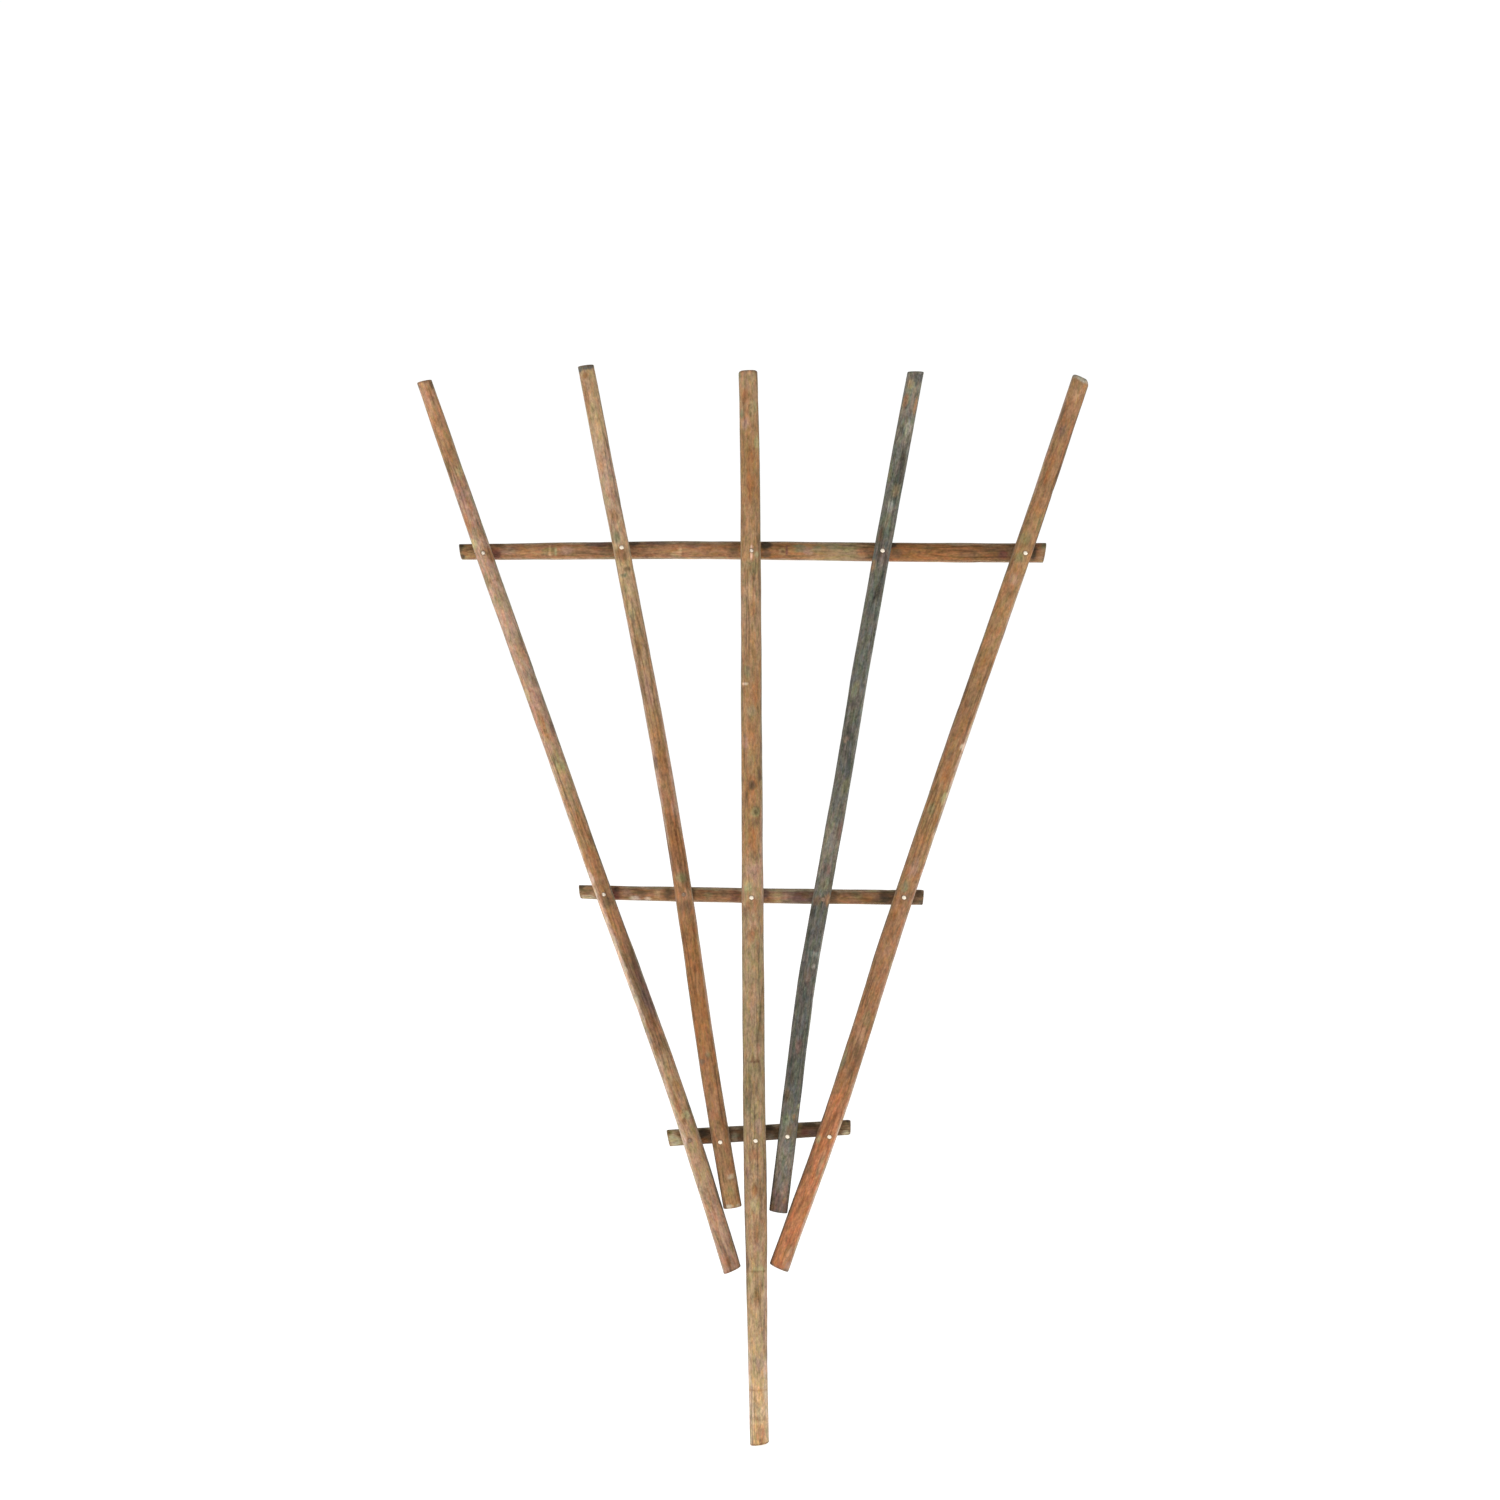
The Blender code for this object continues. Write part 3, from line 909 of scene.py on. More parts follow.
# %% Which nail is where, and what is stored on the points
def is_through(nail, rod):
    """True if this nail's head sits on this rod."""
    where = nail.split("_", 2)[2]
    return rod.removeprefix("upright_").removeprefix("centre_") == where


def store(mesh, name, kind, field, values):
    """Keep one value per point on the mesh, for the finish to read."""
    attribute = mesh.attributes.new(name, kind, "POINT")
    attribute.data.foreach_set(field, np.asarray(values, np.float32).ravel())


# %% Put a finished mesh in its place
SHARP_ANGLE = math.radians(50)


def put_in_place(mesh, node):
    """Let a mesh ride on the frame in place of one plain solid."""
    mesh.shade_smooth()
    mesh.set_sharp_from_angle(angle=SHARP_ANGLE)
    piece = bpy.data.objects.new(mesh.name, mesh)
    bpy.context.scene.collection.objects.link(piece)
    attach(piece, "root")
    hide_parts(node)


# %% Make one stick
GRAIN_GAP = 7.3


def make_stick(name, tones, marks, edge, knots=(), worn=(), ends=("umber", 0.6), **shares):
    """One stick with its bark. The edge and the ends are each a tone and its strength."""
    stick = sticks[name]
    heads = [head for nail, (_, head) in nails.items() if is_through(nail, name)]
    fine = [place * MM for place, *_ in knots] + [head.dot(stick["along"]) for head in heads]
    skin = plain_skin(stick, fine, offset=GRAIN_GAP * (1 + list(sticks).index(name)))
    height, hollow = relief(skin, knots, worn, heads)
    height[[0, -1]] -= CHAMFER
    skin["points"] = skin["points"] + skin["outward"] * height[..., None]
    colour = paint(skin, tones, with_back(marks), edge, ends, heads)

    caps = [cap(skin, 0), cap(skin, -1)]
    points = np.concatenate([skin["points"].reshape(-1, 3), *[c[0] for c in caps]])
    grain = np.concatenate([skin["grain"].reshape(-1, 3), *[c[1] for c in caps]])
    extra = len(points) - colour.shape[0] * SIDES
    tint = np.concatenate([colour.reshape(-1, 3), np.tile(SAWN_TONE, (extra, 1))])
    faces, sawn = skin_faces(len(skin["rows"]))
    if stick["across"].cross(FRONT).dot(stick["along"]) > 0:
        faces = [face[::-1] for face in faces]

    mesh = bpy.data.meshes.new(name + "_bark")
    mesh.from_pydata(points, [], faces)
    mesh.materials.append(bark_finish(name + "_bark", **shares))
    mesh.materials.append(SAWN)
    mesh.polygons.foreach_set("material_index", sawn.astype(np.int32))
    store(mesh, "grain", "FLOAT_VECTOR", "vector", grain)
    store(mesh, "tint", "FLOAT_COLOR", "color", np.hstack([tint, np.ones((len(tint), 1))]))
    store(mesh, "hollow", "FLOAT", "value", np.concatenate([hollow.ravel(), np.zeros(extra)]))
    put_in_place(mesh, name)
    print(f"{mesh.name}: {len(points)} points, {len(heads)} nail dents, {len(knots)} knots")


# %% [markdown]
# ### Left outer rod
#
# This rod's bark is a pinkish tan, mottled with grey-green. It is orange near the top, darkest a
# little below the middle crossbar, and has one small knot with a pale ring just above the bottom
# crossbar, and two on its back. Long thin marks paint its left side paler and its right side
# darker, as painted highlight and painted shade from a light on the left. Short marks make the
# patches, and the dark ones at its top end are painted shade.

# %% Left outer rod
make_stick(
    "upright_left_outer",
    tones=[
        (195, "rose"), (330, "tan"), (430, "tan"), (470, "russet"), (500, "umber"), (540, "umber"),
        (590, "russet"), (680, "amber"), (740, "tan"), (840, "rose"), (930, "shell"),
        (1070, "rose"), (1120, "amber"), (1180, "apricot"),
    ],
    marks=[
        (430, -70, 240, 5, "blush", 0.6), (550, -62, 120, 6, "blush", 0.7), (720, -72, 90, 4, "blush", 0.5),
        (500, -60, 50, 5, "blush", 0.6), (500, 72, 60, 4, "ash", 0.35),
        (300, 76, 100, 4, "dust", 0.6), (640, 80, 90, 3, "dust", 0.5), (830, 74, 60, 4, "lead", 0.45),
        (960, 76, 220, 4, "stone", 0.5),
        (207, -8, 6, 4, "copper", 0.6), (236, 15, 9, 5, "rose", 0.5), (222, 45, 7, 4, "olive", 0.4),
        (288, -20, 5, 4, "umber", 0.5), (294, -50, 2.5, 2, "char", 0.6), (291, -42, 5, 4, "shell", 0.5),
        (345, -58, 10, 5, "blush", 0.6), (352, 30, 8, 4, "olive", 0.5), (371, 14, 6, 6, "lichen", 0.6),
        (366, -6, 3, 3, "umber", 0.7), (383, -12, 10, 5, "copper", 0.5), (404, 18, 9, 5, "copper", 0.6),
        (432, -48, 8, 5, "shell", 0.6), (450, 25, 14, 6, "umber", 0.5), (475, -60, 9, 4, "lichen", 0.5),
        (505, 45, 28, 7, "plum", 0.65), (530, 30, 14, 4, "wine", 0.3), (586, 10, 18, 6, "copper", 0.5),
        (612, 8, 7, 8, "umber", 0.7), (608, -62, 5, 3, "blush", 0.6), (640, -50, 8, 4, "blush", 0.5),
        (662, 20, 14, 6, "copper", 0.6), (698, 8, 16, 6, "copper", 0.6), (716, -58, 8, 4, "shell", 0.5),
        (766, 16, 12, 6, "lichen", 0.45), (776, -4, 6, 5, "olive", 0.4), (812, -10, 18, 4, "copper", 0.6),
        (806, 52, 10, 4, "plum", 0.5), (850, -48, 10, 4, "lichen", 0.4), (864, 40, 14, 5, "dust", 0.5),
        (893, 18, 10, 5, "apricot", 0.6), (955, 4, 12, 7, "olive", 0.4), (976, -40, 10, 5, "olive", 0.5),
        (1002, 48, 10, 7, "russet", 0.8), (1018, -50, 7, 5, "lichen", 0.6), (1028, 4, 8, 6, "olive", 0.4),
        (1042, -40, 12, 4, "copper", 0.6), (1060, 20, 9, 4, "apricot", 0.5), (1076, -8, 12, 5, "plum", 0.35),
        (1096, 40, 8, 5, "lichen", 0.5), (1114, -12, 12, 5, "russet", 0.6), (1150, -30, 14, 5, "copper", 0.4),
        (1178, 6, 14, 6, "apricot", 0.6), (1194, 66, 5, 5, "char", 0.5), (1196, -66, 4, 4, "slate", 0.4),
        (648, -156, 5, 4, "umber", 0.7), (934, 150, 4, 3, "umber", 0.6),
    ],
    knots=[(371, 14, 5, 4), (648, -156, 6, 4), (934, 150, 5, 4)],
    edge=("stone", 0.6),
    contrast=0.62, orange=0.4, pink=0.5, olive=0.45, speckle=0.3,
)

# %% [markdown]
# ### Left inner rod
#
# This rod is ginger low down, with stone-coloured sides, and paler towards the top. It has a
# small grey ring between the two lower crossbars, a leaf scar just below the top one, and a few
# torn pale fibres at its lower end. The long marks on its sides are painted light and shade:
# dark low down, where the rods stand close, and pale higher up. The dark band at its top end
# is painted shade.

# %% Left inner rod
make_stick(
    "upright_left_inner",
    tones=[
        (266, "amber"), (380, "russet"), (470, "ginger"), (560, "ginger"), (630, "russet"),
        (680, "ginger"), (740, "russet"), (800, "amber"), (900, "tan"), (1000, "sand"),
        (1100, "shell"), (1160, "sand"), (1205, "tan"),
    ],
    marks=[
        (310, -80, 55, 4, "umber", 0.7), (300, 84, 50, 3, "umber", 0.6), (520, 70, 90, 4, "shell", 0.6),
        (500, -80, 80, 2.5, "moss", 0.5), (780, 70, 130, 5, "shell", 0.6), (740, -68, 100, 5, "shell", 0.7),
        (900, -68, 70, 4, "shell", 0.6), (269, -20, 3, 5, "bone", 0.8), (269, 45, 2, 4, "bone", 0.6),
        (284, 0, 8, 5, "olive", 0.5), (302, 28, 3, 5, "bone", 0.6), (297, 50, 4, 3, "rose", 0.5),
        (318, 8, 6, 4, "copper", 0.5), (333, 24, 8, 3, "copper", 0.6), (354, -60, 10, 4, "umber", 0.6),
        (362, 22, 8, 4, "ginger", 0.6), (400, 10, 14, 4, "copper", 0.4), (433, -34, 3, 6, "slate", 0.45),
        (440, 4, 4, 4, "moss", 0.4), (462, 20, 16, 5, "copper", 0.35), (516, 8, 18, 5, "copper", 0.4),
        (606, 0, 8, 8, "umber", 0.55), (625, -56, 8, 4, "copper", 0.6), (620, 30, 6, 5, "apricot", 0.5),
        (640, 0, 6, 8, "olive", 0.7), (684, 8, 18, 5, "ginger", 0.7), (720, 34, 12, 4, "rose", 0.5),
        (770, -48, 9, 4, "plum", 0.6), (772, 8, 16, 5, "ginger", 0.6), (800, 10, 12, 5, "copper", 0.35),
        (850, 0, 18, 5, "rose", 0.5), (902, -10, 14, 5, "amber", 0.6), (915, 10, 12, 4, "olive", 0.4),
        (942, -20, 12, 5, "lichen", 0.4), (968, -30, 10, 4, "olive", 0.5), (981, -16, 2.5, 5, "moss", 0.8),
        (987, 16, 3, 5, "umber", 0.6), (1004, 0, 10, 9, "russet", 0.75), (1024, -20, 8, 6, "moss", 0.6),
        (1047, 0, 10, 5, "copper", 0.5), (1068, 10, 12, 5, "rose", 0.5), (1108, -22, 14, 4, "apricot", 0.6),
        (1142, 10, 12, 5, "straw", 0.5), (1178, -42, 24, 4, "russet", 0.6), (1200, 40, 10, 4, "straw", 0.5),
        (1206, -20, 4, 4, "ginger", 0.6), (1216, 10, 4, 14, "slate", 0.8),
        (1214, -60, 4, 9, "slate", 0.7), (566, 165, 5, 3, "umber", 0.7),
    ],
    knots=[(566, 165, 6, 4)],
    edge=("stone", 0.5),
    ends=("umber", 0.3),
    contrast=0.62, orange=0.35, pink=0.4, olive=0.4,
)

# %% [markdown]
# ### Middle stake
#
# The thickest stick, made from an older branch. Its foot is paler, with an orange stain at the
# very end and a dark ring above it. Two dark knots sit a little above the middle crossbar, one
# over the other, and a nick in the bark shows pale wood higher up. A scrape runs down from the
# nail at the top crossbar. The long thin marks along its sides are painted light and shade:
# dark low down, where the rods stand close, and pale and grey-green bands higher up.

# %% Middle stake
make_stick(
    "centre_stake",
    tones=[
        (0, "honey"), (60, "honey"), (95, "sand"), (180, "sand"), (260, "tan"), (400, "drab"),
        (560, "drab"), (640, "tan"), (680, "amber"), (850, "amber"), (950, "tan"), (1080, "amber"),
        (1130, "amber"), (1200, "tan"),
    ],
    marks=[
        (250, -84, 60, 3, "umber", 0.6), (300, 84, 50, 3, "umber", 0.5), (900, 84, 300, 3, "moss", 0.4),
        (150, 60, 60, 5, "shell", 0.6), (660, 64, 60, 5, "shell", 0.6), (850, -72, 60, 3, "moss", 0.4),
        (60, -66, 60, 6, "blush", 0.6), (60, 66, 60, 6, "blush", 0.6), (760, 72, 100, 4, "stone", 0.5),
        (12, 8, 10, 7, "apricot", 0.8), (6, -66, 8, 5, "bone", 0.5), (38, 0, 12, 10, "bone", 0.3),
        (30, 0, 1.4, 30, "umber", 0.35), (62, 0, 2, 14, "amber", 0.5), (95, 10, 12, 7, "shell", 0.6),
        (135, -30, 12, 5, "straw", 0.5), (168, 0, 14, 4, "ginger", 0.4), (186, -50, 9, 4, "olive", 0.6),
        (199, 10, 4, 7, "lichen", 0.6), (196, 0, 1.4, 12, "umber", 0.5), (205, -60, 12, 4, "plum", 0.5),
        (226, 2, 8, 5, "rose", 0.6), (240, 0, 14, 4, "russet", 0.6), (272, 0, 9, 6, "lichen", 0.35),
        (288, -8, 8, 5, "copper", 0.6), (306, -42, 8, 4, "plum", 0.5), (328, 0, 8, 8, "russet", 0.75),
        (360, 20, 9, 5, "shell", 0.6), (382, -40, 10, 5, "moss", 0.5), (420, -28, 12, 5, "olive", 0.4),
        (433, 8, 2, 6, "umber", 0.8), (436, -6, 4, 2, "umber", 0.6), (446, 20, 8, 4, "rose", 0.5),
        (500, 0, 26, 6, "rose", 0.3), (574, -8, 8, 5, "russet", 0.7), (588, 4, 8, 5, "rose", 0.5),
        (602, -50, 8, 5, "umber", 0.5), (609, 0, 8, 11, "russet", 0.5), (630, -28, 8, 6, "lichen", 0.5),
        (646, 4, 10, 8, "rose", 0.6), (664, 12, 6, 5, "umber", 0.5), (684, 0, 16, 5, "ginger", 0.6),
        (704, 20, 7, 5, "umber", 0.5), (714, 20, 6, 6, "olive", 0.8), (730, 0, 9, 6, "copper", 0.6),
        (745, 2, 10, 7, "ginger", 0.7), (744, 0, 6, 5, "umber", 0.7), (756, 46, 9, 4, "char", 0.5),
        (774, 0, 10, 6, "olive", 0.3),
        (792, -42, 9, 5, "rose", 0.7), (803, 0, 12, 6, "copper", 0.6), (827, 0, 7, 7, "moss", 0.4),
        (848, 20, 12, 5, "copper", 0.6), (858, -42, 1.8, 5, "bare", 1.0), (872, -28, 8, 5, "moss", 0.4),
        (910, 0, 14, 6, "amber", 0.6), (942, 6, 12, 6, "copper", 0.4), (962, -10, 8, 5, "straw", 0.5),
        (990, 0, 10, 10, "olive", 0.5), (1010, 0, 14, 12, "amber", 0.6), (1004, 40, 4, 4, "lichen", 0.6),
        (1006, 4, 8, 1.4, "bare", 0.9),
        (1040, -48, 14, 5, "umber", 0.5), (1080, 0, 24, 5, "ginger", 0.6), (1112, 0, 16, 5, "ginger", 0.6),
        (1130, 50, 10, 5, "lichen", 0.4), (1152, -20, 7, 6, "rose", 0.8), (1162, -44, 6, 4, "moss", 0.6),
        (1170, 30, 9, 5, "lichen", 0.4), (1181, -20, 9, 6, "copper", 0.8), (1208, -70, 5, 5, "moss", 0.7),
        (512, 168, 6, 4, "umber", 0.8), (1094, -150, 5, 4, "umber", 0.7),
    ],
    knots=[(745, 2, 6, 5), (714, 20, 4, 4), (512, 168, 7, 5), (1094, -150, 5, 4)],
    worn=[(1, -80, 1.5), (1, 85, 1.2)],
    edge=("dust", 0.4),
    contrast=0.62, orange=0.35, pink=0.35, olive=0.42, speckle=0.3,
)

# %% [markdown]
# ### Right inner rod
#
# A slate-grey rod from another tree. Its bark shades between blue-grey, green-grey and a dull
# purple, and it is browner at both ends. A dark mark along its left side low down is painted
# shade, where the rods stand close, and pale marks along its right side are painted light. The
# dark mark at its top end is painted shade.

# %% Right inner rod
make_stick(
    "upright_right_inner",
    tones=[
        (262, "plum"), (320, "dust"), (400, "slate"), (600, "slate"), (680, "dust"), (760, "slate"),
        (930, "lead"), (1100, "lead"), (1160, "dust"), (1195, "dust"),
    ],
    marks=[
        (310, -84, 52, 4, "char", 0.7), (300, 76, 40, 4, "stone", 0.2), (520, 74, 80, 4, "ash", 0.35),
        (820, 74, 130, 4, "ash", 0.25), (266, -50, 6, 5, "umber", 0.7), (284, -30, 12, 5, "plum", 0.7),
        (290, 18, 12, 4, "rose", 0.3), (276, 30, 4, 3, "copper", 0.35), (318, 0, 12, 5, "dust", 0.5),
        (356, 8, 7, 7, "umber", 0.5), (366, -20, 6, 6, "moss", 0.5), (371, 22, 4, 3, "copper", 0.4),
        (383, 58, 3, 3, "lichen", 0.6), (394, -38, 9, 4, "umber", 0.5), (412, -16, 9, 5, "char", 0.45),
        (450, 0, 9, 5, "plum", 0.6), (528, 0, 9, 5, "plum", 0.5), (540, 30, 3, 3, "ash", 0.4),
        (554, 16, 2, 7, "ash", 0.4), (598, -58, 6, 5, "char", 0.5), (616, 50, 7, 6, "copper", 0.5),
        (612, -30, 6, 6, "umber", 0.5), (632, 8, 8, 7, "moss", 0.5), (648, 0, 8, 5, "plum", 0.5),
        (690, -20, 14, 5, "dust", 0.7), (694, 40, 14, 4, "plum", 0.6), (742, 30, 10, 5, "moss", 0.5),
        (795, -28, 4, 4, "rose", 0.5), (802, 4, 8, 5, "char", 0.3), (824, 0, 10, 5, "dust", 0.6),
        (850, -18, 12, 5, "moss", 0.5), (965, 18, 9, 5, "char", 0.35), (990, -56, 7, 5, "russet", 0.5),
        (1002, 10, 9, 8, "plum", 0.5), (1026, -38, 9, 5, "umber", 0.5), (1042, 0, 9, 6, "moss", 0.5),
        (1058, 0, 7, 5, "ash", 0.35), (1076, 20, 8, 5, "drab", 0.5), (1092, -48, 9, 4, "moss", 0.6),
        (1112, 22, 12, 5, "char", 0.4), (1146, 20, 8, 6, "ash", 0.4), (1172, 46, 14, 3, "russet", 0.7),
        (1176, -38, 9, 4, "russet", 0.6), (1190, 0, 7, 6, "moss", 0.4), (1196, -22, 7, 5, "drab", 0.6),
        (1204, 30, 5, 10, "slate", 0.7), (833, -160, 5, 3, "char", 0.6),
    ],
    knots=[(833, -160, 6, 4)],
    edge=("slate", 0.4),
    ends=("slate", 0.7),
    contrast=0.85, orange=0.1, pink=0.5, olive=0.5, blue=0.6, speckle=0.25,
)

# %% [markdown]
# ### Right outer rod
#
# The reddest rod. Its lower third is a rusty orange with a dark left side and a pale right one:
# painted shade where the rods stand close, and painted light. Higher up it is browner and
# greener, long pale marks on its right side are painted light, and a chip of bark is missing a
# little above its middle. Near the top its right side is painted dark and its left side pale,
# as painted shade and light from the left. The upper corner on its right is worn round.

# %% Right outer rod
make_stick(
    "upright_right_outer",
    tones=[
        (197, "rust"), (300, "rust"), (360, "rust"), (420, "russet"), (500, "russet"), (600, "russet"),
        (720, "amber"), (800, "russet"), (900, "amber"), (1000, "amber"), (1150, "russet"), (1200, "amber"),
    ],
    marks=[
        (290, -80, 110, 5, "umber", 0.7), (300, 72, 150, 5, "blush", 0.55), (560, 74, 120, 5, "shell", 0.7),
        (760, 72, 120, 5, "blush", 0.55), (930, 74, 60, 5, "shell", 0.7), (1110, 78, 100, 5, "umber", 0.7),
        (1120, -74, 80, 4, "shell", 0.6), (216, 20, 12, 6, "apricot", 0.7), (204, 50, 6, 5, "shell", 0.6),
        (244, -8, 10, 5, "rust", 0.7), (272, 0, 12, 5, "ginger", 0.4), (314, -48, 18, 5, "umber", 0.5),
        (318, 22, 15, 4, "apricot", 0.6), (342, -46, 5, 4, "lichen", 0.5), (350, 10, 6, 6, "russet", 0.5),
        (386, -10, 14, 5, "rust", 0.8), (412, -26, 10, 5, "ginger", 0.5), (430, -56, 14, 4, "moss", 0.6),
        (460, 6, 12, 5, "apricot", 0.5), (482, 10, 8, 6, "olive", 0.3), (510, -10, 12, 4, "copper", 0.5),
        (560, 6, 18, 5, "apricot", 0.3), (596, -28, 8, 5, "ginger", 0.6), (620, 30, 6, 5, "plum", 0.4),
        (628, -18, 7, 5, "moss", 0.6), (652, 0, 12, 6, "rose", 0.5), (690, -10, 13, 5, "copper", 0.5),
        (706, 30, 8, 4, "ginger", 0.5), (716, -18, 7, 5, "olive", 0.6), (731, 40, 7, 4, "lichen", 0.5),
        (760, 0, 14, 5, "ginger", 0.5), (776, -10, 6, 4, "umber", 0.6), (789, 46, 4, 4, "bare", 1.0),
        (786, 42, 1.5, 1.5, "char", 0.7), (812, 0, 12, 5, "ginger", 0.5), (836, -18, 6, 5, "umber", 0.7),
        (858, 4, 10, 5, "amber", 0.6), (880, -10, 8, 4, "ginger", 0.6), (904, -38, 8, 4, "copper", 0.6),
        (917, 2, 6, 6, "copper", 0.6), (954, -48, 14, 4, "copper", 0.6), (962, -26, 7, 4, "copper", 0.5),
        (976, 0, 8, 6, "rose", 0.4), (988, -60, 8, 4, "umber", 0.6), (1000, -18, 6, 6, "olive", 0.7),
        (1006, 62, 6, 5, "copper", 0.6), (1022, -16, 8, 7, "olive", 0.6), (1042, 48, 12, 4, "olive", 0.5),
        (1056, -20, 8, 4, "copper", 0.6), (1092, -8, 16, 4, "ginger", 0.6), (1116, 2, 14, 4, "copper", 0.4),
        (1142, -8, 8, 4, "plum", 0.4), (1160, -50, 14, 3, "umber", 0.5), (1186, 8, 9, 6, "apricot", 0.6),
        (1202, 0, 3.5, 12, "ash", 0.6), (694, 152, 5, 4, "umber", 0.7),
    ],
    knots=[(694, 152, 6, 5)],
    worn=[(1, 78, 2.8), (1, -80, 1.2)],
    edge=("dust", 0.55),
    ends=("lead", 0.6),
    contrast=0.62, orange=0.4, pink=0.35, olive=0.42,
)

# %% [markdown]
# ### Top crossbar
#
# The crossbars are browner than the rods. The dark marks beside each rod are painted shadows,
# where the rod shades the bar, and the long pale marks along their top and bottom edges are
# painted light. Their places are counted to the left and right of the stake. This one is the
# longest, and bows up slightly. It has a small knot just right of the stake, and a few pale
# scratches across it.

# %% Top crossbar
make_stick(
    "crossbar_top",
    tones=[
        (-340, "olive"), (-328, "amber"), (-300, "russet"), (-200, "russet"), (-50, "russet"),
        (20, "ginger"), (60, "amber"), (100, "drab"), (130, "russet"), (160, "ginger"), (240, "ginger"),
        (300, "umber"), (315, "russet"), (324, "drab"),
    ],
    marks=[
        (-120, -74, 240, 4, "bone", 0.3), (240, -74, 60, 4, "bone", 0.2), (-60, 70, 280, 5, "bone", 0.4),
        (240, 70, 60, 5, "bone", 0.4), (-338, 46, 5, 6, "char", 0.6), (-333, -6, 4, 4, "copper", 0.7),
        (-338, -44, 4, 3, "char", 0.7), (-296, 56, 7, 5, "char", 0.5), (-300, -24, 8, 7, "wine", 0.7),
        (-284, 4, 10, 5, "rose", 0.5), (-267, -8, 8, 6, "copper", 0.6), (-255, 0, 6, 5, "amber", 0.5),
        (-238, 0, 9, 6, "olive", 0.5), (-237, 0, 1.2, 7, "straw", 0.7), (-231, -6, 1.2, 7, "lichen", 0.6),
        (-218, 0, 9, 5, "rose", 0.5), (-206, -18, 8, 5, "amber", 0.5), (-184, 46, 16, 5, "plum", 0.7),
        (-176, -16, 8, 5, "umber", 0.5), (-168, 0, 4, 9, "umber", 0.7), (-142, 56, 8, 5, "char", 0.6),
        (-118, 52, 16, 4, "plum", 0.6), (-98, 4, 12, 5, "copper", 0.4), (-94, -32, 7, 4, "sand", 0.5),
        (-90, -8, 1.3, 7, "straw", 0.8), (-74, 34, 12, 5, "plum", 0.4), (-60, 8, 10, 5, "copper", 0.5),
        (-28, 0, 6, 9, "umber", 0.7), (7, 40, 7, 8, "char", 0.8), (8, -30, 6, 6, "umber", 0.8),
        (18, 0, 6, 6, "copper", 0.5), (26, -8, 4, 5, "straw", 0.3), (31, 0, 1.5, 7, "wine", 0.7),
        (46, 20, 9, 6, "moss", 0.6), (56, -4, 6, 5, "rose", 0.6), (66, 10, 6, 5, "moss", 0.5),
        (84, 30, 10, 5, "moss", 0.5), (102, 16, 9, 5, "olive", 0.4), (117, 0, 8, 6, "russet", 0.6),
        (126, -36, 5, 5, "umber", 0.8), (149, 50, 7, 6, "char", 0.7), (156, -10, 6, 6, "umber", 0.5),
        (180, 0, 10, 5, "copper", 0.4), (190, 30, 8, 4, "umber", 0.4), (238, -10, 14, 6, "umber", 0.5),
        (262, 24, 12, 5, "umber", 0.6), (276, -14, 6, 7, "wine", 0.7), (286, 4, 5, 8, "umber", 0.7),
        (311, 0, 4, 12, "char", 0.75), (322, 40, 3, 6, "moss", 0.6),
        (-116, 166, 5, 4, "umber", 0.7),
    ],
    knots=[(26, -8, 4, 4), (-116, 166, 6, 4)],
    worn=[(0, -70, 1.2)],
    edge=("shell", 0.4),
    contrast=0.65, orange=0.35, pink=0.35, olive=0.42,
)

# %% [markdown]
# ### Middle crossbar
#
# This bar has lost chips of bark along its lower edge, near its left end. It is purplish
# beside the right inner rod, partly in its own bark and partly in the painted shadow of the rod,
# and its upper right corner is knocked off. The dark bands on either side of each rod are
# painted shadows.

# %% Middle crossbar
make_stick(
    "crossbar_middle",
    tones=[
        (-204, "olive"), (-190, "tan"), (-160, "russet"), (-120, "russet"), (-50, "russet"),
        (10, "russet"), (20, "tan"), (40, "plum"), (60, "plum"), (80, "umber"), (110, "russet"),
        (150, "umber"), (176, "umber"), (186, "drab"),
    ],
    marks=[
        (-100, -74, 110, 4, "bone", 0.3), (60, -74, 110, 4, "bone", 0.2), (-10, 68, 190, 5, "bone", 0.6),
        (-202, 54, 5, 5, "char", 0.6), (-197, 6, 6, 5, "umber", 0.5),
        (-195, -52, 9, 4, "bone", 0.8), (-163, 0, 6, 9, "wine", 0.8), (-162, 30, 4, 5, "char", 0.5),
        (-150, 12, 7, 5, "rose", 0.4), (-141, -40, 6, 4, "blush", 0.8), (-135, 4, 6, 5, "umber", 0.5),
        (-126, -46, 4, 3, "blush", 0.8), (-115, -8, 4, 7, "straw", 0.4), (-103, 0, 5, 9, "umber", 0.8),
        (-77, 16, 5, 8, "char", 0.6), (-68, -10, 7, 5, "copper", 0.6), (-58, 0, 5, 5, "olive", 0.5),
        (-48, -18, 7, 4, "copper", 0.5), (-40, 20, 6, 5, "umber", 0.5), (-28, 0, 6, 9, "wine", 0.5),
        (6, 20, 5, 8, "plum", 0.7), (21, -10, 5, 8, "straw", 0.55), (29, 0, 4, 5, "rose", 0.5),
        (46, 0, 8, 7, "wine", 0.45), (44, -10, 5, 4, "plum", 0.5), (53, 16, 5, 6, "umber", 0.6),
        (84, 0, 5, 9, "umber", 0.8), (94, -16, 7, 5, "copper", 0.6), (110, 10, 7, 5, "olive", 0.4),
        (122, -10, 8, 5, "ginger", 0.6), (142, 0, 7, 9, "char", 0.6), (182, 30, 5, 7, "char", 0.5),
        (184, -50, 3, 5, "dust", 0.6),
    ],
    worn=[(1, 62, 2.4), (0, -70, 1.2)],
    edge=("shell", 0.4),
    contrast=0.65, orange=0.35, pink=0.4, olive=0.42,
)

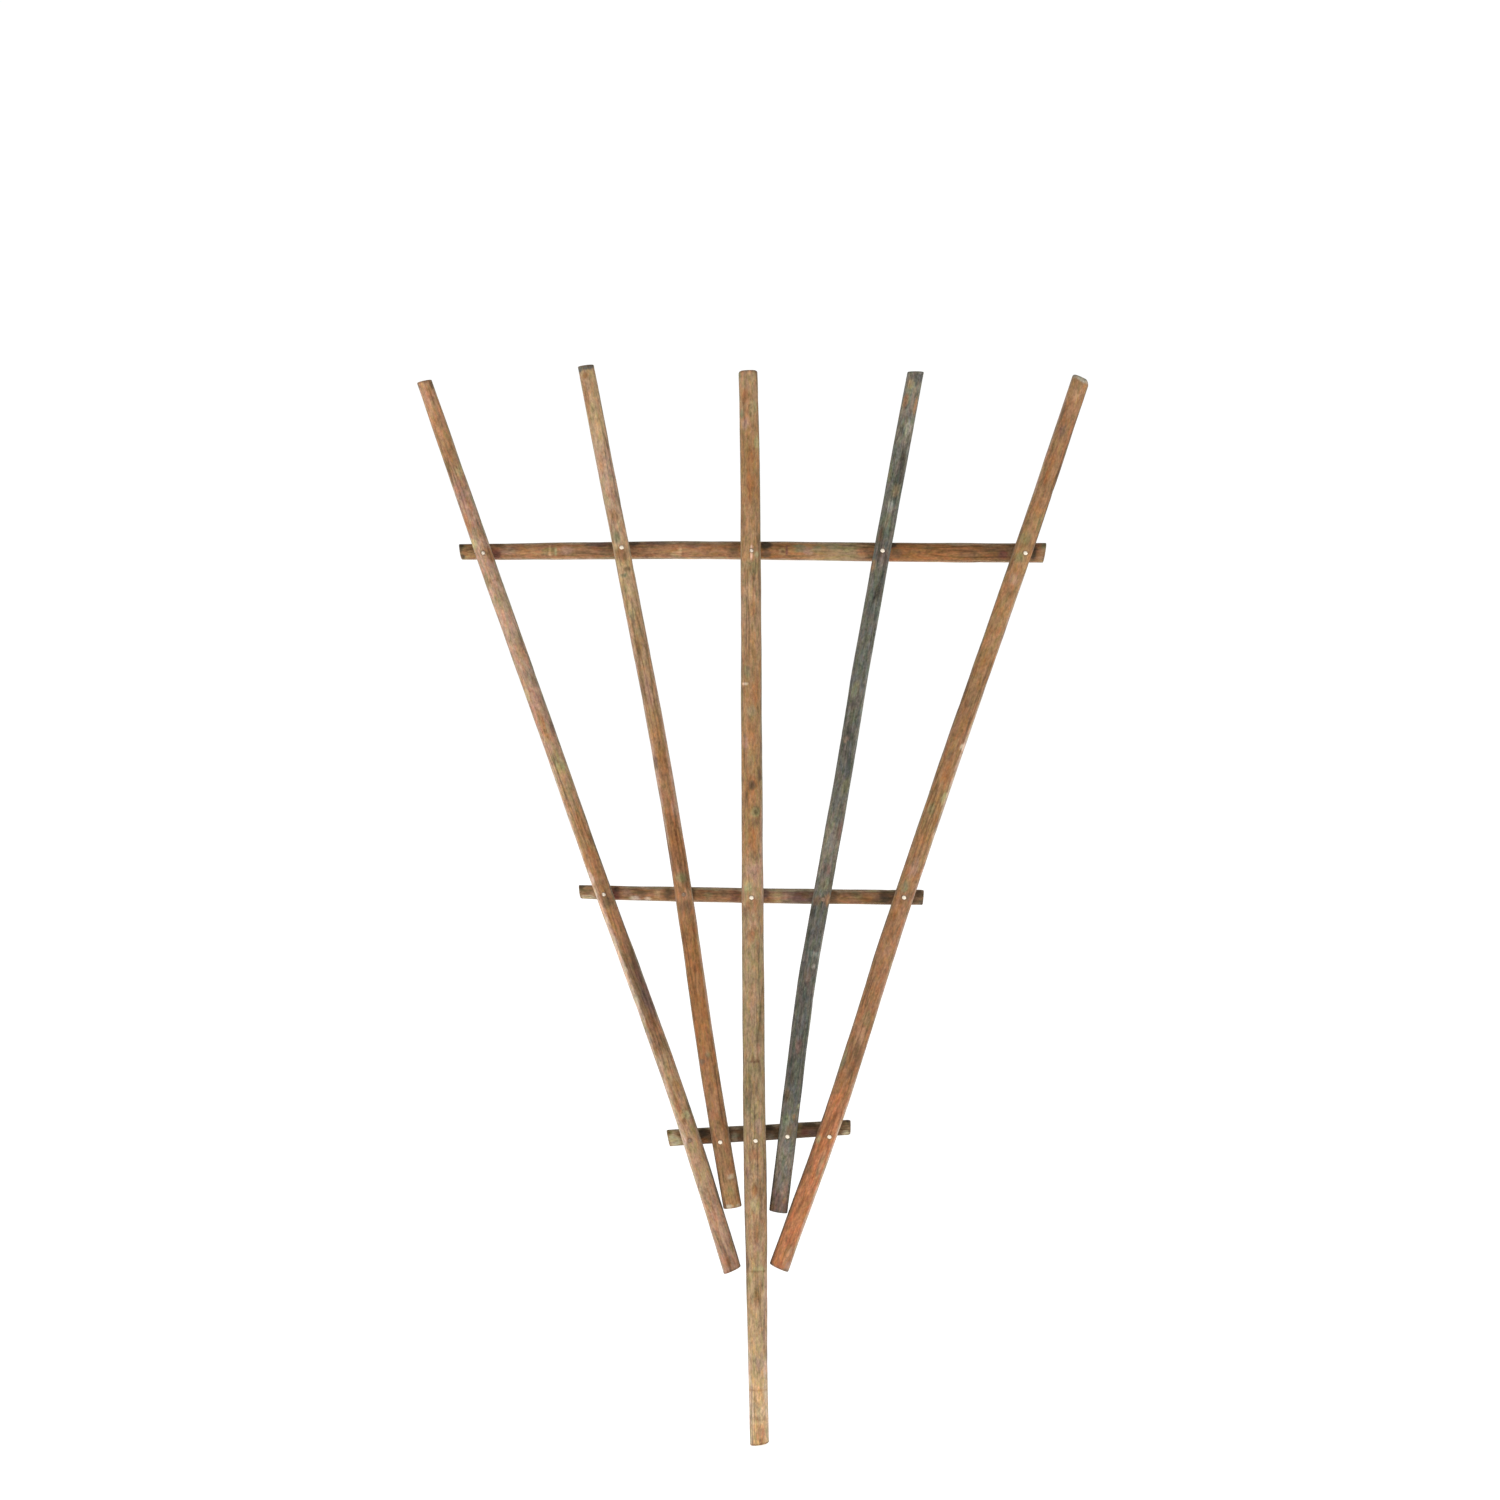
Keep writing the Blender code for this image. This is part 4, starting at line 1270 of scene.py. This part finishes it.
# %% [markdown]
# ### Bottom crossbar
#
# The shortest and darkest bar. It is darkest between the rods, partly in its own bark and
# partly as painted shade, and the darkest marks beside the rods are painted shadows. Its left
# end is paler, and its right end a little too: partly its own colour and partly painted light.

# %% Bottom crossbar
make_stick(
    "crossbar_bottom",
    tones=[
        (-103, "bone"), (-92, "drab"), (-76, "olive"), (-66, "umber"), (0, "umber"), (70, "umber"),
        (90, "umber"), (103, "drab"),
    ],
    marks=[
        (0, 70, 100, 5, "bone", 0.6), (-102, 50, 4, 5, "olive", 0.8), (-97, -16, 7, 7, "bone", 0.8),
        (-88, 30, 5, 5, "umber", 0.5), (-63, 40, 6, 7, "char", 0.7), (-63, -30, 5, 4, "ginger", 0.6),
        (-34, 36, 4, 7, "char", 0.5), (-28, -16, 4, 7, "stone", 0.7), (-20, 16, 4, 7, "umber", 0.5),
        (12, 40, 6, 6, "char", 0.7), (13, -30, 5, 5, "dust", 0.5), (45, 16, 4, 6, "olive", 0.5),
        (51, -6, 5, 6, "wine", 0.6), (60, -20, 5, 5, "plum", 0.6), (56, 50, 8, 4, "char", 0.6),
        (94, 0, 6, 6, "umber", 0.5), (98, -50, 5, 5, "bone", 0.6), (101, 60, 3, 6, "char", 0.6),
    ],
    worn=[(1, 70, 2.0), (1, -70, 1.6), (0, 60, 1.2)],
    edge=("stone", 0.3),
    contrast=0.65, orange=0.3, pink=0.2, olive=0.42,
)

# %% [markdown]
# ## The nails
#
# A round wire nail has a slightly domed head with a soft edge, a shank with a few grip rings
# pressed in just below the head, and a point. It is round about its axis, so it is made as a
# profile, a list of radius and distance below the head's face, and turned in small steps.

# %% Nail shape
NAIL_SIDES = 40
HEAD_RADIUS = 2.4 * MM
SHANK_RADIUS = 1.1 * MM
GRIP_RINGS = 5
GRIP_DEPTH = 0.09 * MM


def nail_profile(length):
    """(radius, depth) from the middle of the head's face to the tip."""
    profile = [(0.0, 0.0), (0.6 * MM, 0.01 * MM), (1.2 * MM, 0.06 * MM), (1.7 * MM, 0.16 * MM)]
    profile += [(2.1 * MM, 0.29 * MM), (2.3 * MM, 0.42 * MM), (HEAD_RADIUS, 0.58 * MM)]
    profile += [(2.33 * MM, 0.76 * MM)]
    profile += [(2.1 * MM, 0.86 * MM), (1.5 * MM, 0.9 * MM), (SHANK_RADIUS, 1.1 * MM)]
    for groove in range(GRIP_RINGS):
        top = (2.0 + 0.9 * groove) * MM
        profile += [(SHANK_RADIUS, top), (SHANK_RADIUS - GRIP_DEPTH, top + 0.2 * MM)]
        profile += [(SHANK_RADIUS, top + 0.4 * MM)]
    profile += [(SHANK_RADIUS, length - 3 * MM), (0.75 * MM, length - 1.8 * MM), (0.0, length)]
    return profile


# %% [markdown]
# The nails were bright once. The finish is metal with fine scratches, and rust that starts as
# spots, mostly at the head's edge. Its share of tarnish moves the limit between steel and rust,
# so one finish makes the bright nails, the dull ones and those that are rusted all over.

# %% Nail finish
BRIGHT_TONE = (0.95, 0.86, 0.72)
SCRATCH_TONE = (0.80, 0.70, 0.56)
NAIL_RUST = (0.17, 0.095, 0.05)
STEEL_ROUGHNESS = 0.30
RUST_BEGINS = 0.66
RUST_FADE = 0.18
TARNISH_REACH = 0.4


def nail_finish(name, tarnish):
    """Steel that has dulled by a share from 0 to 1."""
    material = bpy.data.materials.new(name)
    bench = Bench(material)
    grain = bench.painted("grain", "Vector")
    scratches = bench.noise(grain, (0.12 * MM, 1.1 * MM, 1.1 * MM), detail=3)
    spots = bench.noise(grain, (0.7 * MM, 0.7 * MM, 0.7 * MM), detail=4)
    flat = bench.vector("MULTIPLY", grain, (1, 1, 0))
    from_axis = bench.vector("LENGTH", flat, output="Value")
    rim = bench.ease(from_axis + (spots - 0.5) * (1.6 * MM), 1.1 * MM, 2.3 * MM)
    limit = RUST_BEGINS - TARNISH_REACH * tarnish
    rust = bench.ease(spots + rim * 0.22, limit, limit + RUST_FADE)
    steel = bench.mix(scratches, BRIGHT_TONE, SCRATCH_TONE)
    colour = bench.mix(rust * (0.75 + 0.2 * tarnish), steel, NAIL_RUST)
    bench.surface({
        "Base Color": colour,
        "Metallic": 1 - rust * 0.8,
        "Roughness": STEEL_ROUGHNESS + rust * 0.45,
        "Normal": bench.bump(scratches + spots, strength=0.4, distance=0.05 * MM),
    })
    return material


BRIGHT_STEEL = nail_finish("bright_steel", 0.0)
DULL_STEEL = nail_finish("dull_steel", 0.5)
RUSTED_STEEL = nail_finish("rusted_steel", 1.0)
print("nail finishes:", BRIGHT_STEEL.name, DULL_STEEL.name, RUSTED_STEEL.name)

# %% [markdown]
# Each nail is as long as the plain one, and lies on the same line. The profile goes round that
# line ring by ring, from the head to the point. Most of the nails have kept their shine, and the
# few that haven't are named.

# %% Make and place the nails
def make_nail(name, finish):
    """One nail, turned from its profile."""
    tip, head = nails[name]
    profile = nail_profile((tip - head).length)
    drive = (tip - head).normalized()
    first_side = drive.cross(UP).normalized()
    second_side = drive.cross(first_side)
    points = []
    grain = []
    for radius, depth in profile[1:-1]:
        for step in range(NAIL_SIDES):
            angle = 2 * math.pi * step / NAIL_SIDES
            out = first_side * math.cos(angle) + second_side * math.sin(angle)
            points.append(head + drive * depth + out * radius)
            grain.append((radius * math.cos(angle), radius * math.sin(angle), depth))
    points += [head, tip]
    grain += [(0, 0, 0), (0, 0, profile[-1][1])]
    faces = []
    rings = len(profile) - 2
    for ring in range(rings - 1):
        for step in range(NAIL_SIDES):
            after = (step + 1) % NAIL_SIDES
            low = ring * NAIL_SIDES
            high = low + NAIL_SIDES
            faces.append((low + step, low + after, high + after, high + step))
    last = (rings - 1) * NAIL_SIDES
    for step in range(NAIL_SIDES):
        after = (step + 1) % NAIL_SIDES
        faces.append((after, step, rings * NAIL_SIDES))
        faces.append((last + step, last + after, rings * NAIL_SIDES + 1))
    mesh = bpy.data.meshes.new(name + "_steel")
    mesh.from_pydata(points, [], faces)
    shape = bmesh.new()
    shape.from_mesh(mesh)
    bmesh.ops.recalc_face_normals(shape, faces=shape.faces)
    shape.to_mesh(mesh)
    shape.free()
    mesh.materials.append(finish)
    store(mesh, "grain", "FLOAT_VECTOR", "vector", np.array(grain))
    put_in_place(mesh, name)


FINISH_OF = {
    "nail_top_left_outer": DULL_STEEL,
    "nail_top_stake": DULL_STEEL,
    "nail_middle_left_outer": DULL_STEEL,
    "nail_bottom_left_outer": RUSTED_STEEL,
    "nail_middle_left_inner": RUSTED_STEEL,
    "nail_middle_right_inner": RUSTED_STEEL,
}
for name in nails:
    make_nail(name, FINISH_OF.get(name, BRIGHT_STEEL))
print(len(nails), "nails in place,", len(FINISH_OF), "of them dull or rusted")
